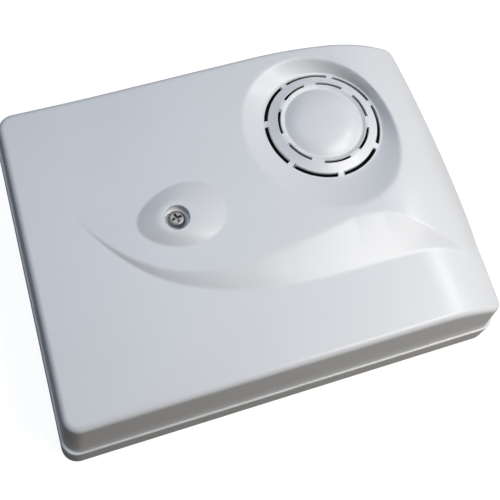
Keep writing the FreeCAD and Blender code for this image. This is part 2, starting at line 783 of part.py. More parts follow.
def less(label, base, tools):
    """A base with one or more tools cut out of it."""
    tool = tools[0]
    if len(tools) > 1:
        tool = group(label + "_tools", tools)
    thing = named("Part::Cut", label)
    thing.Base, thing.Tool = base, tool
    return thing


def joined(label, things):
    thing = named("Part::MultiFuse", label)
    thing.Shapes = things
    thing.Refine = True
    return thing


def group(label, things):
    thing = named("Part::Compound", label)
    thing.Links = things
    return thing


def node(thing):
    NODES[thing.Label] = thing
    return thing


def origin_plane(body, role):
    return next(f for f in body.Origin.OriginFeatures if f.Role == role)


def outline_sketch(body, name, plane, points):
    """A closed outline; each point is a pair of sheet formulas."""
    sketch = body.newObject("Sketcher::SketchObject", name)
    sketch.AttachmentSupport = [(origin_plane(body, plane), "")]
    sketch.MapMode = "FlatFace"
    values = [[worth(words) for words in point] for point in points]
    count = len(points)
    for i in range(count):
        sketch.addGeometry(Part.LineSegment(Vector(*values[i], 0), Vector(*values[(i + 1) % count], 0)))
    for i in range(count):
        sketch.addConstraint(Sketcher.Constraint("Coincident", i, 2, (i + 1) % count, 1))
    for i, point in enumerate(points):
        for kind, value, words in zip(("DistanceX", "DistanceY"), values[i], point):
            index = sketch.addConstraint(Sketcher.Constraint(kind, -1, 1, i, 1, value))
            sketch.setExpression("Constraints[%d]" % index, formula(words))
    return sketch


def circle_sketch(body, name, plane, circles):
    """Circles, each given by formulas for its centre and radius."""
    sketch = body.newObject("Sketcher::SketchObject", name)
    sketch.AttachmentSupport = [(origin_plane(body, plane), "")]
    sketch.MapMode = "FlatFace"
    for i, (x, y, radius) in enumerate(circles):
        values = [worth(words) for words in (x, y, radius)]
        sketch.addGeometry(Part.Circle(Vector(values[0], values[1], 0), Vector(0, 0, 1), values[2]))
        rows = (Sketcher.Constraint("DistanceX", -1, 1, i, 3, values[0]),
                Sketcher.Constraint("DistanceY", -1, 1, i, 3, values[1]),
                Sketcher.Constraint("Radius", i, values[2]))
        for row, words in zip(rows, (x, y, radius)):
            index = sketch.addConstraint(row)
            sketch.setExpression("Constraints[%d]" % index, formula(words))
    return sketch


def turned_body(label, points, x, y, z="0"):
    """A body of revolution about its own Z from a section of radius and height formulas."""
    body = named("PartDesign::Body", label)
    sketch = outline_sketch(body, label + "_section", "XZ_Plane", points)
    turn = body.newObject("PartDesign::Revolution", label + "_turn")
    turn.Profile = sketch
    turn.ReferenceAxis = (sketch, ["V_Axis"])
    turn.Angle = 360
    return placed(body, x, y, z)


def padded_body(label, points, height, x, y, z):
    body = named("PartDesign::Body", label)
    sketch = outline_sketch(body, label + "_outline", "XY_Plane", points)
    pad = body.newObject("PartDesign::Pad", label + "_pad")
    pad.Profile = sketch
    pad.setExpression("Length", formula(height))
    return placed(body, x, y, z)


def screw(label, head, head_height, shank, length, x, y, seat, upward=False):
    """A screw with its head on a seat; upward ones are driven from below."""
    head_low = seat + (" - " + head_height if upward else "")
    shank_low = seat if upward else "%s - (%s)" % (seat, length)
    return joined(label, [rod(label + "_head", head, head_height, x, y, head_low),
                          rod(label + "_shank", shank, length, x, y, shank_low)])


# Shells with free-form faces

for label, build in (("back_box", back_box), ("front_cover", front_cover)):
    shell = named("Part::Feature", label)
    shell.Shape = build()
    shell.Placement = FreeCAD.Placement()
    node(shell)

# Cover screw with its cross recess

SCREW_X = LEFT + "screw_left"
SCREW_Y = TOP + "screw_top"
SEAT = "face_height + screw_seat_rise"
cover_screw_blank = screw("cover_screw_blank", "screw_head_radius", "screw_head_height",
                          "screw_shank_radius", "screw_shank_length", SCREW_X, SCREW_Y, SEAT)
cross_low = SEAT + " + screw_head_height - screw_cross_depth"
cross = [block("cross_along", "screw_cross_reach", "screw_cross_width", "screw_head_height",
               SCREW_X + " - screw_cross_reach / 2", SCREW_Y + " - screw_cross_width / 2", cross_low),
         block("cross_across", "screw_cross_width", "screw_cross_reach", "screw_head_height",
               SCREW_X + " - screw_cross_width / 2", SCREW_Y + " - screw_cross_reach / 2", cross_low)]
node(less("cover_screw", cover_screw_blank, cross))

# Loudspeaker behind the grille

GRILLE_X = RIGHT + "grille_right"
GRILLE_Y = TOP + "grille_top"
CLOTH_Z = "grille_floor_height - cover_wall - cloth_thickness"
GASKET_Z = CLOTH_Z + " - gasket_thickness"
FLANGE_Z = GASKET_Z + " - cone_sheet"
PLATE_Z = FLANGE_Z + " - basket_depth"
FLANGE_INNER = "speaker_radius - flange_width"
node(rod("dust_cloth", "speaker_radius - 1.3", "cloth_thickness", GRILLE_X, GRILLE_Y, CLOTH_Z))


def tube(label, outer, inner, height, x, y, z):
    return less(label, rod(label + "_outside", outer, height, x, y, z),
                [rod(label + "_bore", inner, height, x, y, z)])


node(tube("speaker_gasket", "speaker_radius - 1.1", FLANGE_INNER + " + 0.1", "gasket_thickness",
          GRILLE_X, GRILLE_Y, GASKET_Z))
COIL_OUTER = "coil_inner_radius + coil_wall"
CONE_LOW = "-basket_depth + 1.9"
node(turned_body("speaker_cone", [
    ("speaker_radius - 0.6", "0"), ("speaker_radius - 0.6", "cone_sheet"), (FLANGE_INNER, "cone_sheet"),
    (COIL_OUTER, CONE_LOW + " + cone_sheet"), (COIL_OUTER, CONE_LOW), (FLANGE_INNER, "0"),
], GRILLE_X, GRILLE_Y, FLANGE_Z))
node(turned_body("speaker_basket", [
    ("speaker_radius", "-basket_sheet"), ("speaker_radius", "0"), (FLANGE_INNER, "0"),
    ("basket_floor_radius", "basket_sheet - basket_depth"),
    (COIL_OUTER + " + 1.1", "basket_sheet - basket_depth"),
    (COIL_OUTER + " + 1.1", "-basket_depth"), ("basket_floor_radius + 0.3", "-basket_depth"),
    (FLANGE_INNER + " + 0.3", "-basket_sheet"),
], GRILLE_X, GRILLE_Y, FLANGE_Z))
node(tube("speaker_top_plate", "top_plate_radius", "magnet_bore", "top_plate_thickness",
          GRILLE_X, GRILLE_Y, PLATE_Z + " - top_plate_thickness"))
MAGNET_Z = PLATE_Z + " - top_plate_thickness - magnet_thickness"
node(tube("speaker_magnet", "magnet_radius", "magnet_bore + 1", "magnet_thickness",
          GRILLE_X, GRILLE_Y, MAGNET_Z))
node(turned_body("speaker_yoke", [
    ("0", "-yoke_thickness"), ("magnet_radius - 1", "-yoke_thickness"), ("magnet_radius - 1", "0"),
    ("pole_radius", "0"), ("pole_radius", "magnet_thickness + top_plate_thickness"),
    ("0", "magnet_thickness + top_plate_thickness"),
], GRILLE_X, GRILLE_Y, MAGNET_Z))
node(tube("voice_coil", COIL_OUTER, "coil_inner_radius", "coil_length", GRILLE_X, GRILLE_Y,
          FLANGE_Z + " + (%s) + 1.2 - coil_length" % CONE_LOW))
DOME_RIM = COIL_OUTER + " + 1.6"
DOME_BALL = "((%s) * (%s) + dome_height * dome_height) / (2 * dome_height)" % (DOME_RIM, DOME_RIM)
DOME_BASE = FLANGE_Z + " + (%s) + cone_sheet + 1.6 * (basket_depth - 1.9) / (%s - (%s))" % (
    CONE_LOW, FLANGE_INNER, COIL_OUTER)
ball = sized(named("Part::Sphere", "dome_outside"), Radius=DOME_BALL,
             Angle1="asin((%s - dome_height) / (%s))" % (DOME_BALL, DOME_BALL))
placed(ball, GRILLE_X, GRILLE_Y, "%s + 0.01 + dome_height - (%s)" % (DOME_BASE, DOME_BALL))
inside = sized(named("Part::Sphere", "dome_inside"), Radius=DOME_BALL + " - cone_sheet")
placed(inside, GRILLE_X, GRILLE_Y, "%s + 0.01 + dome_height - (%s)" % (DOME_BASE, DOME_BALL))
node(less("speaker_dome", ball, [inside]))

# Clips that hold the loudspeaker's flange, each screwed to a post of the cover

CLIP_REACH = "(speaker_radius + clip_post_radius + clip_post_gap)"
CLIP_Z = FLANGE_Z + " - basket_sheet - clip_thickness"
clips, clip_screws = [], []
for index, degrees in enumerate(CLIP_ANGLES):
    x = GRILLE_X + " + %s * cos(%g deg)" % (CLIP_REACH, degrees)
    y = GRILLE_Y + " + %s * sin(%g deg)" % (CLIP_REACH, degrees)
    plate = sized(named("Part::Box", "clip_plate_%d" % index), Width="clip_width", Height="clip_thickness",
                  Length="clip_overlap + clip_post_gap + 2 * clip_post_radius")
    plate.Placement = FreeCAD.Placement(Vector(0, 0, 0), FreeCAD.Rotation(Vector(0, 0, 1), degrees))
    start = "(speaker_radius - clip_overlap)"
    placed(plate, GRILLE_X + " + %s * cos(%g deg) + clip_width / 2 * sin(%g deg)" % (start, degrees, degrees),
           GRILLE_Y + " + %s * sin(%g deg) - clip_width / 2 * cos(%g deg)" % (start, degrees, degrees),
           CLIP_Z)
    hole = rod("clip_hole_%d" % index, "small_pilot_radius", "clip_thickness", x, y, CLIP_Z)
    clips.append(less("clip_%d" % index, plate, [hole]))
    clip_screws.append(screw("clip_screw_%d" % index, "small_head_radius", "small_head_height",
                             "small_shank_radius", "clip_thickness + clip_shank_length", x, y, CLIP_Z, True))
node(group("speaker_clips", clips))
node(group("clip_screws", clip_screws))

# Circuit board on its four posts

board = padded_body("circuit_board", [("0", "0"), ("board_length", "0"), ("board_length", "board_width"),
                                      ("0", "board_width")], "board_thickness", LEFT + "board_left",
                    FRONT + "board_front", "board_height")
CORNERS = [(x, y) for x in ("board_hole_inset", "board_length - board_hole_inset")
           for y in ("board_hole_inset", "board_width - board_hole_inset")]
holes = circle_sketch(board, "board_hole_centres", "XY_Plane",
                      [(x, y, "board_hole_radius") for x, y in CORNERS])
drilled = board.newObject("PartDesign::Pocket", "board_holes")
drilled.Profile = holes
drilled.Type = "ThroughAll"
drilled.Reversed = True
node(board)
board_screws = [screw("board_screw_%d" % i, "small_head_radius", "small_head_height", "small_shank_radius",
                      "board_thickness + small_shank_length", BOARD_X + x, BOARD_Y + y, BOARD_Z)
                for i, (x, y) in enumerate(CORNERS)]
node(group("board_screws", board_screws))

# Screw terminals along the board's right end

TERMINAL_X = BOARD_X + "board_length - terminal_inset - terminal_width"
wells, terminal_screws = [], []
for i in range(int(size("terminal_count"))):
    x = TERMINAL_X + " + terminal_width / 2"
    y = BOARD_Y + "terminal_y + terminal_pitch * %g" % (i + 0.5)
    floor = BOARD_Z + " + terminal_height - terminal_well_depth"
    wells.append(rod("terminal_well_%d" % i, "terminal_well_radius", "terminal_well_depth", x, y, floor))
    wells.append(block("terminal_entry_%d" % i, "wire_entry_depth", "wire_entry", "wire_entry",
                       TERMINAL_X + " + terminal_width - wire_entry_depth", y + " - wire_entry / 2",
                       BOARD_Z + " + 1.5"))
    blank = rod("terminal_screw_blank_%d" % i, "terminal_screw_radius", "terminal_screw_height", x, y, floor)
    slot = block("terminal_screw_slot_%d" % i, "2 * terminal_screw_radius", "0.6", "0.8",
                 x + " - terminal_screw_radius", y + " - 0.3", floor + " + terminal_screw_height - 0.8")
    terminal_screws.append(less("terminal_screw_%d" % i, blank, [slot]))
housing = block("terminal_housing", "terminal_width", "terminal_count * terminal_pitch", "terminal_height",
                TERMINAL_X, BOARD_Y + "terminal_y", BOARD_Z)
node(less("terminal_block", housing, wells))
node(group("terminal_screws", terminal_screws))

# Capacitors


def can(label, radius, height, x, y):
    return turned_body(label, [("0", "0"), (radius + " - can_edge", "0"), (radius, "can_edge"),
                               (radius, height + " - can_edge"), (radius + " - can_edge", height),
                               ("0", height)], x, y, BOARD_Z)


node(can("supply_capacitor", "supply_cap_radius", "supply_cap_height", BOARD_X + "supply_cap_x",
         BOARD_Y + "supply_cap_y"))
small_cans = [can("small_capacitor_%d" % i, "small_cap_radius", "small_cap_height",
                  BOARD_X + "small_cap_x - %d * small_cap_pitch" % i, BOARD_Y + "small_cap_y")
              for i in range(int(size("small_cap_count")))]
node(group("small_capacitors", small_cans))

# Power transistor on its folded heat sink

sink = padded_body("heat_sink", [
    ("0", "0"), ("sink_sheet", "0"), ("sink_sheet", "sink_depth - sink_sheet"),
    ("sink_length - sink_sheet", "sink_depth - sink_sheet"), ("sink_length - sink_sheet", "0"),
    ("sink_length", "0"), ("sink_length", "sink_depth"), ("0", "sink_depth"),
], "sink_height", BOARD_X + "sink_x", BOARD_Y + "sink_y", BOARD_Z)
node(sink)
TRANSISTOR_X = BOARD_X + "sink_x + (sink_length - transistor_width) / 2"
TRANSISTOR_BACK = BOARD_Y + "sink_y + sink_depth - sink_sheet"
tab_z = BOARD_Z + " + transistor_lift"
transistor = [block("transistor_tab_plate", "transistor_width", "transistor_tab",
                    "sink_height - transistor_lift - 0.5", TRANSISTOR_X,
                    TRANSISTOR_BACK + " - transistor_tab", tab_z),
              block("transistor_case", "transistor_width", "transistor_depth - transistor_tab",
                    "transistor_body", TRANSISTOR_X, TRANSISTOR_BACK + " - transistor_depth", tab_z)]
for i in (-1, 0, 1):
    transistor.append(block("transistor_leg_%d" % (i + 1), "pin_width", "pin_width", "transistor_lift",
                            TRANSISTOR_X + " + transistor_width / 2 - pin_width / 2 + %d * chip_pitch" % i,
                            TRANSISTOR_BACK + " - transistor_depth / 2 - pin_width / 2", BOARD_Z))
node(joined("driver_transistor", transistor))

# Tone controller, its crystal and the small leaded pieces

chip = [block("chip_case", "chip_length", "chip_width", "chip_height", BOARD_X + "chip_x", BOARD_Y + "chip_y",
              BOARD_Z + " + chip_lift")]
for i in range(int(size("chip_pins"))):
    x = BOARD_X + "chip_x + chip_length / 2 - pin_width / 2 + chip_pitch * (%d - (chip_pins - 1) / 2)" % i
    for side in (-1, 1):
        y = BOARD_Y + "chip_y + chip_width / 2 - pin_width / 2 + %d * chip_row / 2" % side
        chip.append(block("chip_pin_%d_%d" % (i, side + 1), "pin_width", "pin_width",
                          "chip_lift + chip_height / 2", x, y, BOARD_Z))
    chip.append(block("chip_shoulder_%d" % i, "pin_width", "chip_row + pin_width", "pin_width / 2", x,
                      BOARD_Y + "chip_y + chip_width / 2 - (chip_row + pin_width) / 2",
                      BOARD_Z + " + chip_lift + chip_height / 2 - pin_width / 2"))
node(joined("controller_chip", chip))
crystal = [block("crystal_middle", "crystal_length - crystal_width", "crystal_width", "crystal_height",
                 BOARD_X + "crystal_x + crystal_width / 2", BOARD_Y + "crystal_y", BOARD_Z)]
for end in (0, 1):
    x = BOARD_X + "crystal_x + crystal_width / 2 + %d * (crystal_length - crystal_width)" % end
    crystal.append(rod("crystal_end_%d" % end, "crystal_width / 2", "crystal_height", x,
                       BOARD_Y + "crystal_y + crystal_width / 2", BOARD_Z))
node(joined("crystal", crystal))


def axial(label, radius, length, x, y):
    """A leaded piece that lies along Y, its two wires bent down to the board."""
    axis = BOARD_Z + " + lead_lift"
    lead_y = y + " - lead_reach"
    things = [rod(label + "_case", radius, length, x, y, axis, Vector(-1, 0, 0)),
              block(label + "_wire", "lead_width", length + " + 2 * lead_reach", "lead_width",
                    x + " - lead_width / 2", lead_y, axis + " - lead_width / 2")]
    for end, foot_y in enumerate((lead_y, lead_y + " + %s + 2 * lead_reach - lead_width" % length)):
        things.append(block("%s_foot_%d" % (label, end), "lead_width", "lead_width",
                            "lead_lift + lead_width / 2", x + " - lead_width / 2", foot_y, BOARD_Z))
    return joined(label, things)


for kind, label in (("diode", "charge_diodes"), ("resistor", "resistors")):
    row = [axial("%s_%d" % (kind, i), kind + "_radius", kind + "_length",
                 BOARD_X + "%s_x + %d * %s_pitch" % (kind, i, kind), BOARD_Y + kind + "_y")
           for i in range(int(size(kind + "_count")))]
    node(group(label, row))

# Pin header for the tone links, with one link on it

PIN_X = BOARD_X + "header_x + header_pitch * "
header = [block("header_base", "header_columns * header_pitch", "2 * header_pitch", "header_base_height",
                BOARD_X + "header_x", BOARD_Y + "header_y", BOARD_Z)]
for column in range(int(size("header_columns"))):
    for row in (0, 1):
        header.append(block("header_pin_%d_%d" % (column, row), "pin_width", "pin_width", "header_pin",
                            PIN_X + "%g - pin_width / 2" % (column + 0.5),
                            BOARD_Y + "header_y + header_pitch * %g - pin_width / 2" % (row + 0.5), BOARD_Z))
node(joined("tone_header", header))
link_side = "(pin_width + 2 * link_gap + 2 * link_wall)"
link_column = 1
link_x = PIN_X + "%g - %s / 2" % (link_column + 0.5, link_side)
link_y = BOARD_Y + "header_y + header_pitch / 2 - %s / 2" % link_side
link_z = BOARD_Z + " + header_base_height"
link_holes = [block("link_hole_%d" % row, "pin_width + 2 * link_gap", "pin_width + 2 * link_gap",
                    "header_pin - header_base_height + link_gap", link_x + " + link_wall",
                    link_y + " + link_wall + %d * header_pitch" % row, link_z) for row in (0, 1)]
link_cap = block("link_cap", link_side, link_side + " + header_pitch", "header_pin - header_base_height + 1",
                 link_x, link_y, link_z)
node(less("tone_link", link_cap, link_holes))

# Two-pole sockets for the leads of the loudspeaker and the battery

for label in ("speaker_socket", "battery_socket"):
    x = BOARD_X + label + "_x"
    y = BOARD_Y + "socket_y"
    case = block(label + "_case", "socket_length", "socket_width", "socket_height", x, y, BOARD_Z)
    cavity = block(label + "_cavity", "socket_length - 2 * socket_wall", "socket_width - 2 * socket_wall",
                   "socket_height", x + " + socket_wall", y + " + socket_wall",
                   BOARD_Z + " + 2 * socket_wall")
    pins = [block("%s_pin_%d" % (label, side + 1), "pin_width", "pin_width", "socket_height - socket_wall",
                  x + " + socket_length / 2 - pin_width / 2 + %d * socket_pitch / 2" % side,
                  y + " + socket_width / 2 - pin_width / 2", BOARD_Z) for side in (-1, 1)]
    node(joined(label, [less(label + "_shell", case, [cavity])] + pins))

# Lid tamper switch: the closed cover holds its plunger down

TAMPER_X = BOARD_X + "board_length - tamper_inset"
TAMPER_Y = BOARD_Y + "tamper_y"
TAMPER_FLOOR = "(tamper_height - tamper_cap_height)"
tamper_case = block("tamper_case", "tamper_side", "tamper_side", "tamper_height",
                    TAMPER_X + " - tamper_side / 2", TAMPER_Y + " - tamper_side / 2", BOARD_Z)
tamper_well = rod("tamper_well", "tamper_bore", TAMPER_FLOOR, TAMPER_X, TAMPER_Y,
                  BOARD_Z + " + tamper_cap_height")
node(less("tamper_body", tamper_case, [tamper_well]))
PLUNGER_TOP = "(face_height - cover_wall - board_height - board_thickness - tamper_cap_height)"
node(turned_body("tamper_plunger", [
    ("0", "0"), ("tamper_stem", "0"), ("tamper_stem", PLUNGER_TOP + " - tamper_cap_height"),
    ("tamper_cap", PLUNGER_TOP + " - tamper_cap_height"), ("tamper_cap", PLUNGER_TOP), ("0", PLUNGER_TOP),
], TAMPER_X, TAMPER_Y, BOARD_Z + " + tamper_cap_height"))

# Battery pack: five cells side by side in one shrunk sleeve, under a screwed strap

PACK_X = LEFT + "battery_left"
PACK_WIDE = "(cell_length + 2 * sleeve)"
PACK_LONG = "(2 * cell_count * cell_radius + 2 * sleeve)"
PACK_ROUND = "(cell_radius + sleeve)"
PACK_Y = TOP + "battery_top - " + PACK_WIDE
pack_middle = block("pack_middle", PACK_LONG + " - 2 * " + PACK_ROUND, PACK_WIDE, "2 * " + PACK_ROUND,
                    PACK_X + " + " + PACK_ROUND, PACK_Y, "plate_thickness")
pack_ends = [rod("pack_end_%d" % end, PACK_ROUND, PACK_WIDE,
                 PACK_X + " + %s + %d * (%s - 2 * %s)" % (PACK_ROUND, end, PACK_LONG, PACK_ROUND), PACK_Y,
                 "plate_thickness + " + PACK_ROUND, Vector(-1, 0, 0)) for end in (0, 1)]
node(joined("battery_pack", [pack_middle] + pack_ends))
STRAP_Z = "plate_thickness + 2 * " + PACK_ROUND
STRAP_Y = PACK_Y + " + %s / 2" % PACK_WIDE
strap_ends = [PACK_X + " - strap_reach", PACK_X + " + %s + strap_reach" % PACK_LONG]
strap_bar = block("strap_bar", PACK_LONG + " + 2 * strap_reach + 2 * post_radius", "strap_width",
                  "strap_thickness", PACK_X + " - strap_reach - post_radius",
                  STRAP_Y + " - strap_width / 2", STRAP_Z)
strap_holes = [rod("strap_hole_%d" % i, "small_pilot_radius", "strap_thickness", x, STRAP_Y, STRAP_Z)
               for i, x in enumerate(strap_ends)]
node(less("battery_strap", strap_bar, strap_holes))
strap_screws = [screw("strap_screw_%d" % i, "small_head_radius", "small_head_height", "small_shank_radius",
                      "strap_thickness + small_shank_length", x, STRAP_Y, STRAP_Z + " + strap_thickness")
                for i, x in enumerate(strap_ends)]
node(group("strap_screws", strap_screws))

# Check everything, then write one file for each node

doc.recompute()
for thing in doc.Objects:
    if "Invalid" in thing.State or "Error" in thing.State:
        raise RuntimeError("%s did not compute: %s" % (thing.Label, thing.State))
undrilled = size("board_length") * size("board_width") * size("board_thickness")
if board.Shape.Volume >= undrilled - 1.0:
    raise RuntimeError("the board's holes cut nothing")
for label, thing in NODES.items():
    shape = thing.Shape
    if shape.isNull() or not shape.isValid() or shape.Volume <= 0:
        raise RuntimeError("%s has no valid shape" % label)
    shape.exportStep("parts/%s.step" % label)
print("%d nodes" % len(NODES))
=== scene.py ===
import json
import math

import bmesh
import bpy
import numpy as np
from mathutils import Matrix, Vector


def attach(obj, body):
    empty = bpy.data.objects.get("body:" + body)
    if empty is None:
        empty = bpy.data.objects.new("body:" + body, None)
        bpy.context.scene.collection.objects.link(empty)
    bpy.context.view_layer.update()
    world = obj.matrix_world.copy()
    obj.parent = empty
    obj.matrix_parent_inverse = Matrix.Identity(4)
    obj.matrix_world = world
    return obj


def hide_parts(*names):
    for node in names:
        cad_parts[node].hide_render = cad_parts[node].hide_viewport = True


# Indoor alarm siren on its back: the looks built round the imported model, in metres. The cover is
# worked out in millimetres from the box's left and front sides, then placed.

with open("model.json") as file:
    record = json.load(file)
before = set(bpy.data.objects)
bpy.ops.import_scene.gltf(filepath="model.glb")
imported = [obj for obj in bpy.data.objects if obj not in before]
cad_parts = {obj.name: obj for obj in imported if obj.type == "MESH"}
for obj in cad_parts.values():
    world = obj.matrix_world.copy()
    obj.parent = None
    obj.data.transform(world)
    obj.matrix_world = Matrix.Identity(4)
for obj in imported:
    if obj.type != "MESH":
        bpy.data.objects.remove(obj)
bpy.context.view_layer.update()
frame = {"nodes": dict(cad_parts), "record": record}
MM = 0.001

# Plan of the box

BOX_LENGTH, BOX_WIDTH = 180.0, 143.5
RIGHT_BOW, TOP_FALL, TOP_STRAIGHT = 6.1, 10.0, 115.5
X_LEFT = -(BOX_LENGTH + RIGHT_BOW) / 2
Y_FRONT = -BOX_WIDTH / 2
TOP_ARC_RADIUS = ((BOX_LENGTH - TOP_STRAIGHT) ** 2 + TOP_FALL ** 2) / (2 * TOP_FALL)
SIDE_ARC_RADIUS = ((BOX_WIDTH / 2) ** 2 + RIGHT_BOW ** 2) / (2 * RIGHT_BOW)
TOP_ARC_CENTRE = (TOP_STRAIGHT, BOX_WIDTH - TOP_ARC_RADIUS)
SIDE_ARC_CENTRE = (BOX_LENGTH + RIGHT_BOW - SIDE_ARC_RADIUS, BOX_WIDTH / 2)

# Cover walls: inset of all sides at the height of the rim, and of each side at the height of the face

FOOT, RIM_HEIGHT, FACE_HEIGHT = 2.6, 10.0, 30.0
SKIRT_INSET = 2.5
LEANS = {"left": 5.4, "front": 7.0, "top": 6.9, "right": 3.5}
LEFT_ROUND, RIGHT_ROUND = 6.5, 8.0            # the right one at the outline of the back box
ROUND_SHRINK = 0.8                            # how much less it is for each millimetre of inset
EDGE_ROUND = 2.6
# Foot of the walls: how far it spreads over the rim of the back box, and at what height
FOOT_BEAD = [(0.0, FOOT), (0.0, RIM_HEIGHT - 0.1), (0.36, RIM_HEIGHT + 0.04), (0.28, RIM_HEIGHT + 0.15),
             (0.13, RIM_HEIGHT + 0.38), (0.02, RIM_HEIGHT + 0.9)]

# Face: lower field, upper field with its climb and rolled end, and the ramp of the wave between

WAVE_RISE, WAVE_START, CLIMB_BLEND = 6.2, 28.0, 8.0
ROLL_RADIUS, ROLL_END = 55.0, math.radians(60.0)
LOWER_ROLL_REACH = 0.9 * ROLL_RADIUS
UPPER_START = (137.7, 150.0)                  # of the rolled end, along the front side and the top
LOWER_START = (150.0, 152.0)
# Along the box: slope of the ramp, and how far the upper field dips towards it (or swells, below zero)
RAMP_SLOPES = [(22.0, 0.20), (40.0, 0.50), (64.0, 0.42), (82.0, 0.32), (100.0, 0.275), (130.0, 0.285),
               (142.0, 0.34), (152.0, 0.42), (165.0, 0.55)]
RAMP_DIPS = [(27.0, 0.0), (35.0, -0.4), (50.0, -1.2), (75.0, -0.9), (100.0, -0.4), (120.0, 0.0), (136.0, 0.0),
             (150.0, 0.8), (159.0, 1.8), (165.0, 2.3), (174.0, 2.3)]
DIP_START, DIP_REACH, DIP_BLEND = 136.0, 34.0, 0.3
RAMP_BEND, BEND_FADE = 1.3, (75.0, 110.0)     # how full the ramp is on the left, and where that fades
CREASE_BLEND, CREASE_SHARE = 0.25, 0.35       # rounding of the creases, at most this share of the step
LEAST_STEP, FAR = 0.02, 99.0
# Lower crease of the wave, as shares of the box's length and width
WAVE_SHARES = [(0.111, 0.669), (0.182, 0.514), (0.282, 0.370), (0.391, 0.297), (0.511, 0.259),
               (0.672, 0.245), (0.839, 0.245), (0.922, 0.227), (0.986, 0.177), (1.056, 0.098)]

# Dish and grille

DISH = (131.9, 93.9)
DISH_LONG, DISH_SHORT, DISH_TURN = 36.1, 31.2, math.radians(-73.6)
DISH_NEAR = 1.3 * DISH_LONG
GRILLE = (135.3, 98.7)
FLOOR_RADIUS, FLOOR_HEIGHT = 25.4, 29.8
BOWL_POWER, BOWL_BLEND = 1.1, 0.5
OUTER_SLOT, INNER_SLOT, SLOT_COUNT = 23.9, 18.7, 7
SLOT_WIDTHS = {OUTER_SLOT: 1.5, INNER_SLOT: 1.1}
OUTER_SPAN, INNER_SPAN, SLOT_TURN = 45.0, 35.0, 62.3
SLOT_DEPTH, SLOT_BEVEL = 1.2, 0.13
# Between the slots a step up from the floor, then a slope to a lip; inside it a groove round the dome
BAND_STEP, BAND_SPREAD, BAND_RISE, LIP_WIDTH = 0.6, 0.4, 2.4, 0.3
GROOVE_DROP, GROOVE_WALL = 0.9, 0.5
DOME_RADIUS, DOME_RISE, DOME_POWER = 16.2, 3.4, 3.2

# Raised boss, the hole in it and the screw

BOSS, SCREW = (66.5, 74.0), (63.9, 72.7)
BOSS_LONG, BOSS_SHORT, BOSS_RISE, BOSS_FLAT = 17.9, 13.1, 3.0, 5.8
BOSS_NEAR = 1.6 * BOSS_LONG
BOSS_TAPER, BOSS_POWER = 0.15, 1.35
BOSS_TOP_BLEND, BOSS_FOOT_BLEND = 0.3, 0.12
HOLE_RADIUS, HOLE_ROUND, SEAT_HEIGHT = 5.0, 0.35, 31.7
SEAT_FILLET, BORE_RADIUS, BORE_DEPTH = 0.2, 2.0, 1.5
HEAD_RADIUS, HEAD_HEIGHT, HEAD_FLAT = 3.4, 2.5, 1.9
HEAD_SIDE, HEAD_CROWN = 0.45, 0.47            # shares of the head's height: its side, and the crown on it
CROWN_POWER, CROWN_FALL = 2.6, 0.02
CROSS_TURN, CROSS_HALF, CROSS_EDGE = 12.0, 0.52, 0.12
CROSS_REACH, CROSS_TAPER, CROSS_DEPTH, CROSS_END_DEPTH = 2.0, 0.7, 1.9, 2.4
SHANK_RADIUS, SHANK_LENGTH, TIP_RADIUS, TIP_LENGTH = 1.75, 13.0, 0.4, 13.9


def smooth_max(first, second, width):
    """The larger of two heights, rounded where they meet."""
    gap = np.maximum(width - np.abs(first - second), 0.0) / width
    return np.maximum(first, second) + gap ** 2 * width / 4


def smooth_min(first, second, width):
    return -smooth_max(-first, -second, width)


def field(a, b, rise, starts):
    """Height of one field of the face: flat, a gentle climb, then the rolled end."""
    begin = starts[0]
    along = a - (starts[1] - starts[0]) / BOX_WIDTH * b
    climb = math.atan2(rise, begin - WAVE_START)
    centre = (begin + ROLL_RADIUS * math.sin(climb), FACE_HEIGHT + rise - ROLL_RADIUS * math.cos(climb))
    climbed = smooth_max(along - WAVE_START, np.zeros_like(along), CLIMB_BLEND)
    past = np.clip(along - centre[0], 0.0, ROLL_RADIUS * math.sin(ROLL_END))
    rolled = centre[1] + np.sqrt(ROLL_RADIUS ** 2 - past ** 2)
    return np.where(along > begin, rolled, FACE_HEIGHT + climbed * math.tan(climb))


def spline_through(points, count):
    """A smooth curve through points: natural cubic pieces over the chord length."""
    points = np.array(points)
    knots = np.concatenate([[0], np.cumsum(np.hypot(*np.diff(points, axis=0).T))])
    steps = np.diff(knots)
    size = len(points)
    matrix = np.eye(size)
    right = np.zeros((size, 2))
    for i in range(1, size - 1):
        matrix[i, i - 1:i + 2] = steps[i - 1], 2 * (steps[i - 1] + steps[i]), steps[i]
        right[i] = 6 * ((points[i + 1] - points[i]) / steps[i] - (points[i] - points[i - 1]) / steps[i - 1])
    bends = np.linalg.solve(matrix, right)
    out = []
    for t in np.linspace(0, knots[-1], count):
        i = min(int(np.searchsorted(knots, t, side="right")) - 1, size - 2)
        h, u, v = steps[i], knots[i + 1] - t, t - knots[i]
        out.append(bends[i] * u ** 3 / (6 * h) + bends[i + 1] * v ** 3 / (6 * h)
                   + (points[i] / h - bends[i] * h / 6) * u + (points[i + 1] / h - bends[i + 1] * h / 6) * v)
    return np.array(out)


CREASE_POINTS = 400
CREASE = spline_through([(x * BOX_LENGTH, y * BOX_WIDTH) for x, y in WAVE_SHARES], CREASE_POINTS)


